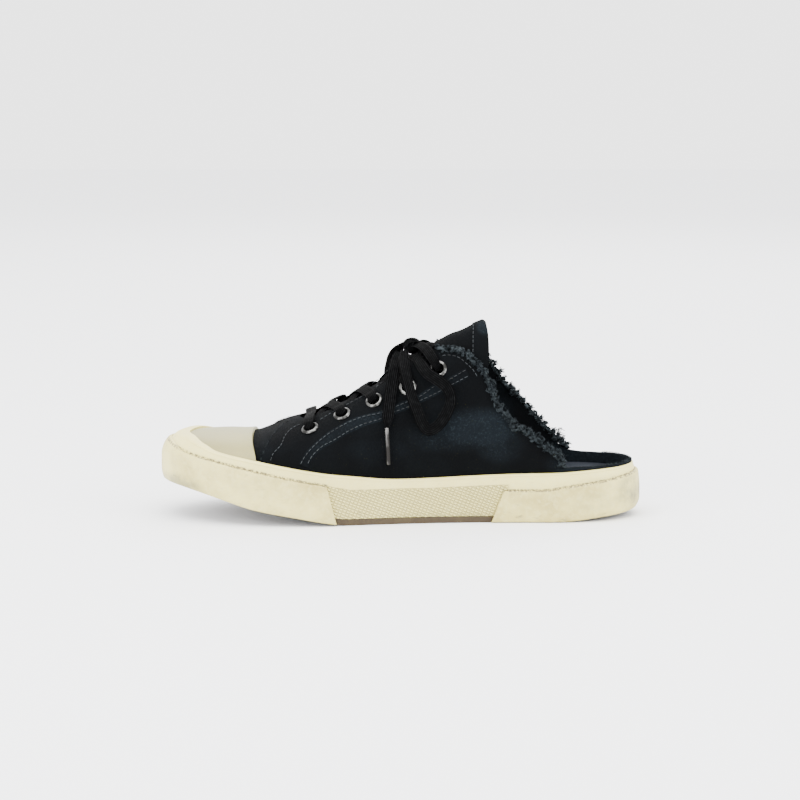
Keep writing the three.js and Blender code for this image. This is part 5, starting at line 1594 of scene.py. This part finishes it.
def curls(rng, starts, ways, outs, length, radius, turns):
    """Curly threads: each leaves its start along its way and winds round it."""
    steps = 12
    t = np.linspace(0, 1, steps)[None, :, None]
    ways = unit(ways)
    cross = unit(np.cross(ways, outs))
    third = np.cross(ways, cross)
    spin = rng.uniform(0, math.tau, math.ceil(len(starts) / CURL_THREADS))
    spin = np.repeat(spin, CURL_THREADS)[: len(starts), None, None]
    angle = spin + t * turns[:, None, None] * math.tau
    wind = cross[:, None] * (np.cos(angle) - np.cos(spin)) + third[:, None] * (np.sin(angle) - np.sin(spin))
    return starts[:, None] + ways[:, None] * t * length[:, None, None] + wind * radius[:, None, None]


def make_fringe(side, seed):
    """Bunched curls: a few threads leave the torn edge together and coil up side by side."""
    rng = np.random.default_rng(seed)
    centres, outs, away = collar_edge(side, EDGE_PLACES)
    pick = np.linspace(3, EDGE_PLACES - 4, FRINGE_CURLS).astype(int) + rng.integers(-3, 4, FRINGE_CURLS)
    depth = rng.uniform(-0.6, 0.6, FRINGE_CURLS)[:, None] * (UPPER_WALL + QUARTER_STEP)
    beyond = rng.uniform(-0.8, 1.8, FRINGE_CURLS)[:, None] * MM
    starts = centres[pick] + outs[pick] * depth + away[pick] * beyond
    ways = unit(away[pick] + rng.normal(0, 0.5, (FRINGE_CURLS, 3)) + outs[pick] * 0.35)
    share = pick / EDGE_PLACES
    longer = 0.6 + 0.5 * soft_step(share, 0.1, 0.3) + 0.4 * soft_step(share, 0.6, 0.95)
    length = rng.uniform(1.8, 4.2, FRINGE_CURLS) * (0.85 + 0.25 * np.sin(pick * 0.09)) * longer * MM
    radius = rng.uniform(0.55, 1.3, FRINGE_CURLS) * MM
    count = FRINGE_CURLS * CURL_THREADS
    starts = np.repeat(starts, CURL_THREADS, axis=0) + rng.normal(0, 0.28, (count, 3)) * MM
    ways = np.repeat(ways, CURL_THREADS, axis=0) + rng.normal(0, 0.13, (count, 3))
    outwards = np.repeat(outs[pick], CURL_THREADS, axis=0)
    length = np.repeat(length, CURL_THREADS) * rng.uniform(0.75, 1.1, count)
    radius = np.repeat(radius, CURL_THREADS) * rng.uniform(0.8, 1.2, count)
    turns = np.repeat(rng.uniform(0.6, 1.5, FRINGE_CURLS), CURL_THREADS)
    lines = curls(rng, starts, ways, outwards, length, radius, turns)
    thick = FRINGE_RADIUS * rng.uniform(0.75, 1.3, (count, 1)) * np.linspace(1, 0.7, lines.shape[1])
    fringe = thread_mesh(f"fringe_{side}", lines, thick, sides=4)
    place = np.arange(EDGE_PLACES)
    roll = CORE_RADIUS * (0.8 + 0.2 * np.sin(place * 0.23) * np.sin(place * 0.071))
    core = thread_mesh(f"fringe_core_{side}", [centres + away * CORE_AWAY], roll[None, :], sides=14)
    return joined(f"fringe_{side}", [fringe, core])


dress(make_fringe("lateral", FRINGE_SEED), fray_finish, "frayed_threads", "frayed_edge_lateral")
dress(make_fringe("medial", FRINGE_SEED + 1), fray_finish, "frayed_threads", "frayed_edge_medial")


def make_fuzz(name, starts, ways, outs, seed, longest=1.5):
    rng = np.random.default_rng(seed)
    ways = unit(ways) + rng.normal(0, 0.45, ways.shape)
    lines = curls(
        rng,
        starts,
        ways,
        outs,
        rng.uniform(0.3, longest, len(starts)) * MM,
        rng.uniform(0.05, 0.3, len(starts)) * MM,
        rng.uniform(0.2, 0.9, len(starts)),
    )[:, ::2]
    return thread_mesh(name, lines, FUZZ_RADIUS * np.linspace(1, 0.5, lines.shape[1])[None, :], sides=3)


def heel_rim_fuzz():
    """The canvas edge round the heel, a dotted pale line above the foxing."""
    rng = np.random.default_rng(FUZZ_SEED)
    count = 900
    i = rng.uniform(SIDE_STATIONS * 0.84, len(plan) - SIDE_STATIONS * 0.84, count)
    low = i.astype(int)
    part = (i - low)[:, None]
    flat = plan[low] + (plan[(low + 1) % len(plan)] - plan[low]) * part
    inward = plan_inward[low]
    inset = rng.uniform(0, 1, count)[:, None] * UPPER_WALL + FORM_INSET
    collar_z = read(COLLAR, "medial", flat[:, 0] / LENGTH + 0.5) * INSTEP_CREST
    starts = np.column_stack([flat + inward * inset, collar_z - 0.2 * MM])
    ways = np.column_stack([-inward * 0.3, np.ones(count)])
    outs = np.column_stack([-inward, 0 * inward[:, :1]])
    return make_fuzz("rim_fuzz", starts, ways, outs, FUZZ_SEED, longest=1.1)


def front_edge_fuzz(side):
    """Pale fuzz on the raw front edge of a quarter, where it lies on the vamp."""
    rng = np.random.default_rng(FUZZ_SEED + 1)
    line = paced(smooth_line(side_line(QUARTER_FRONT)[1:], 10), 260)
    sign = -1 if side == "lateral" else 1
    starts, outs, ways = [], [], []
    way = unit(np.gradient(line, axis=0))
    for (x, z), (dx, dz) in zip(line, way):
        hit, normal = from_side(x + rng.uniform(0, 0.5) * MM, z, sign)
        if hit is None:
            continue
        starts.append(np.array(hit) - np.array(normal) * 0.3 * MM)
        outs.append(normal)
        ways.append((-dz, 0, dx))
    starts, ways, outs = np.array(starts), np.array(ways), np.array(outs)
    return make_fuzz(f"front_fuzz_{side}", starts, ways + outs * 0.5, outs, FUZZ_SEED + 2)


rim_fuzz = heel_rim_fuzz()
dress(rim_fuzz, fray_finish, "frayed_threads")
for side in ("lateral", "medial"):
    dress(front_edge_fuzz(side), fray_finish, "frayed_threads")
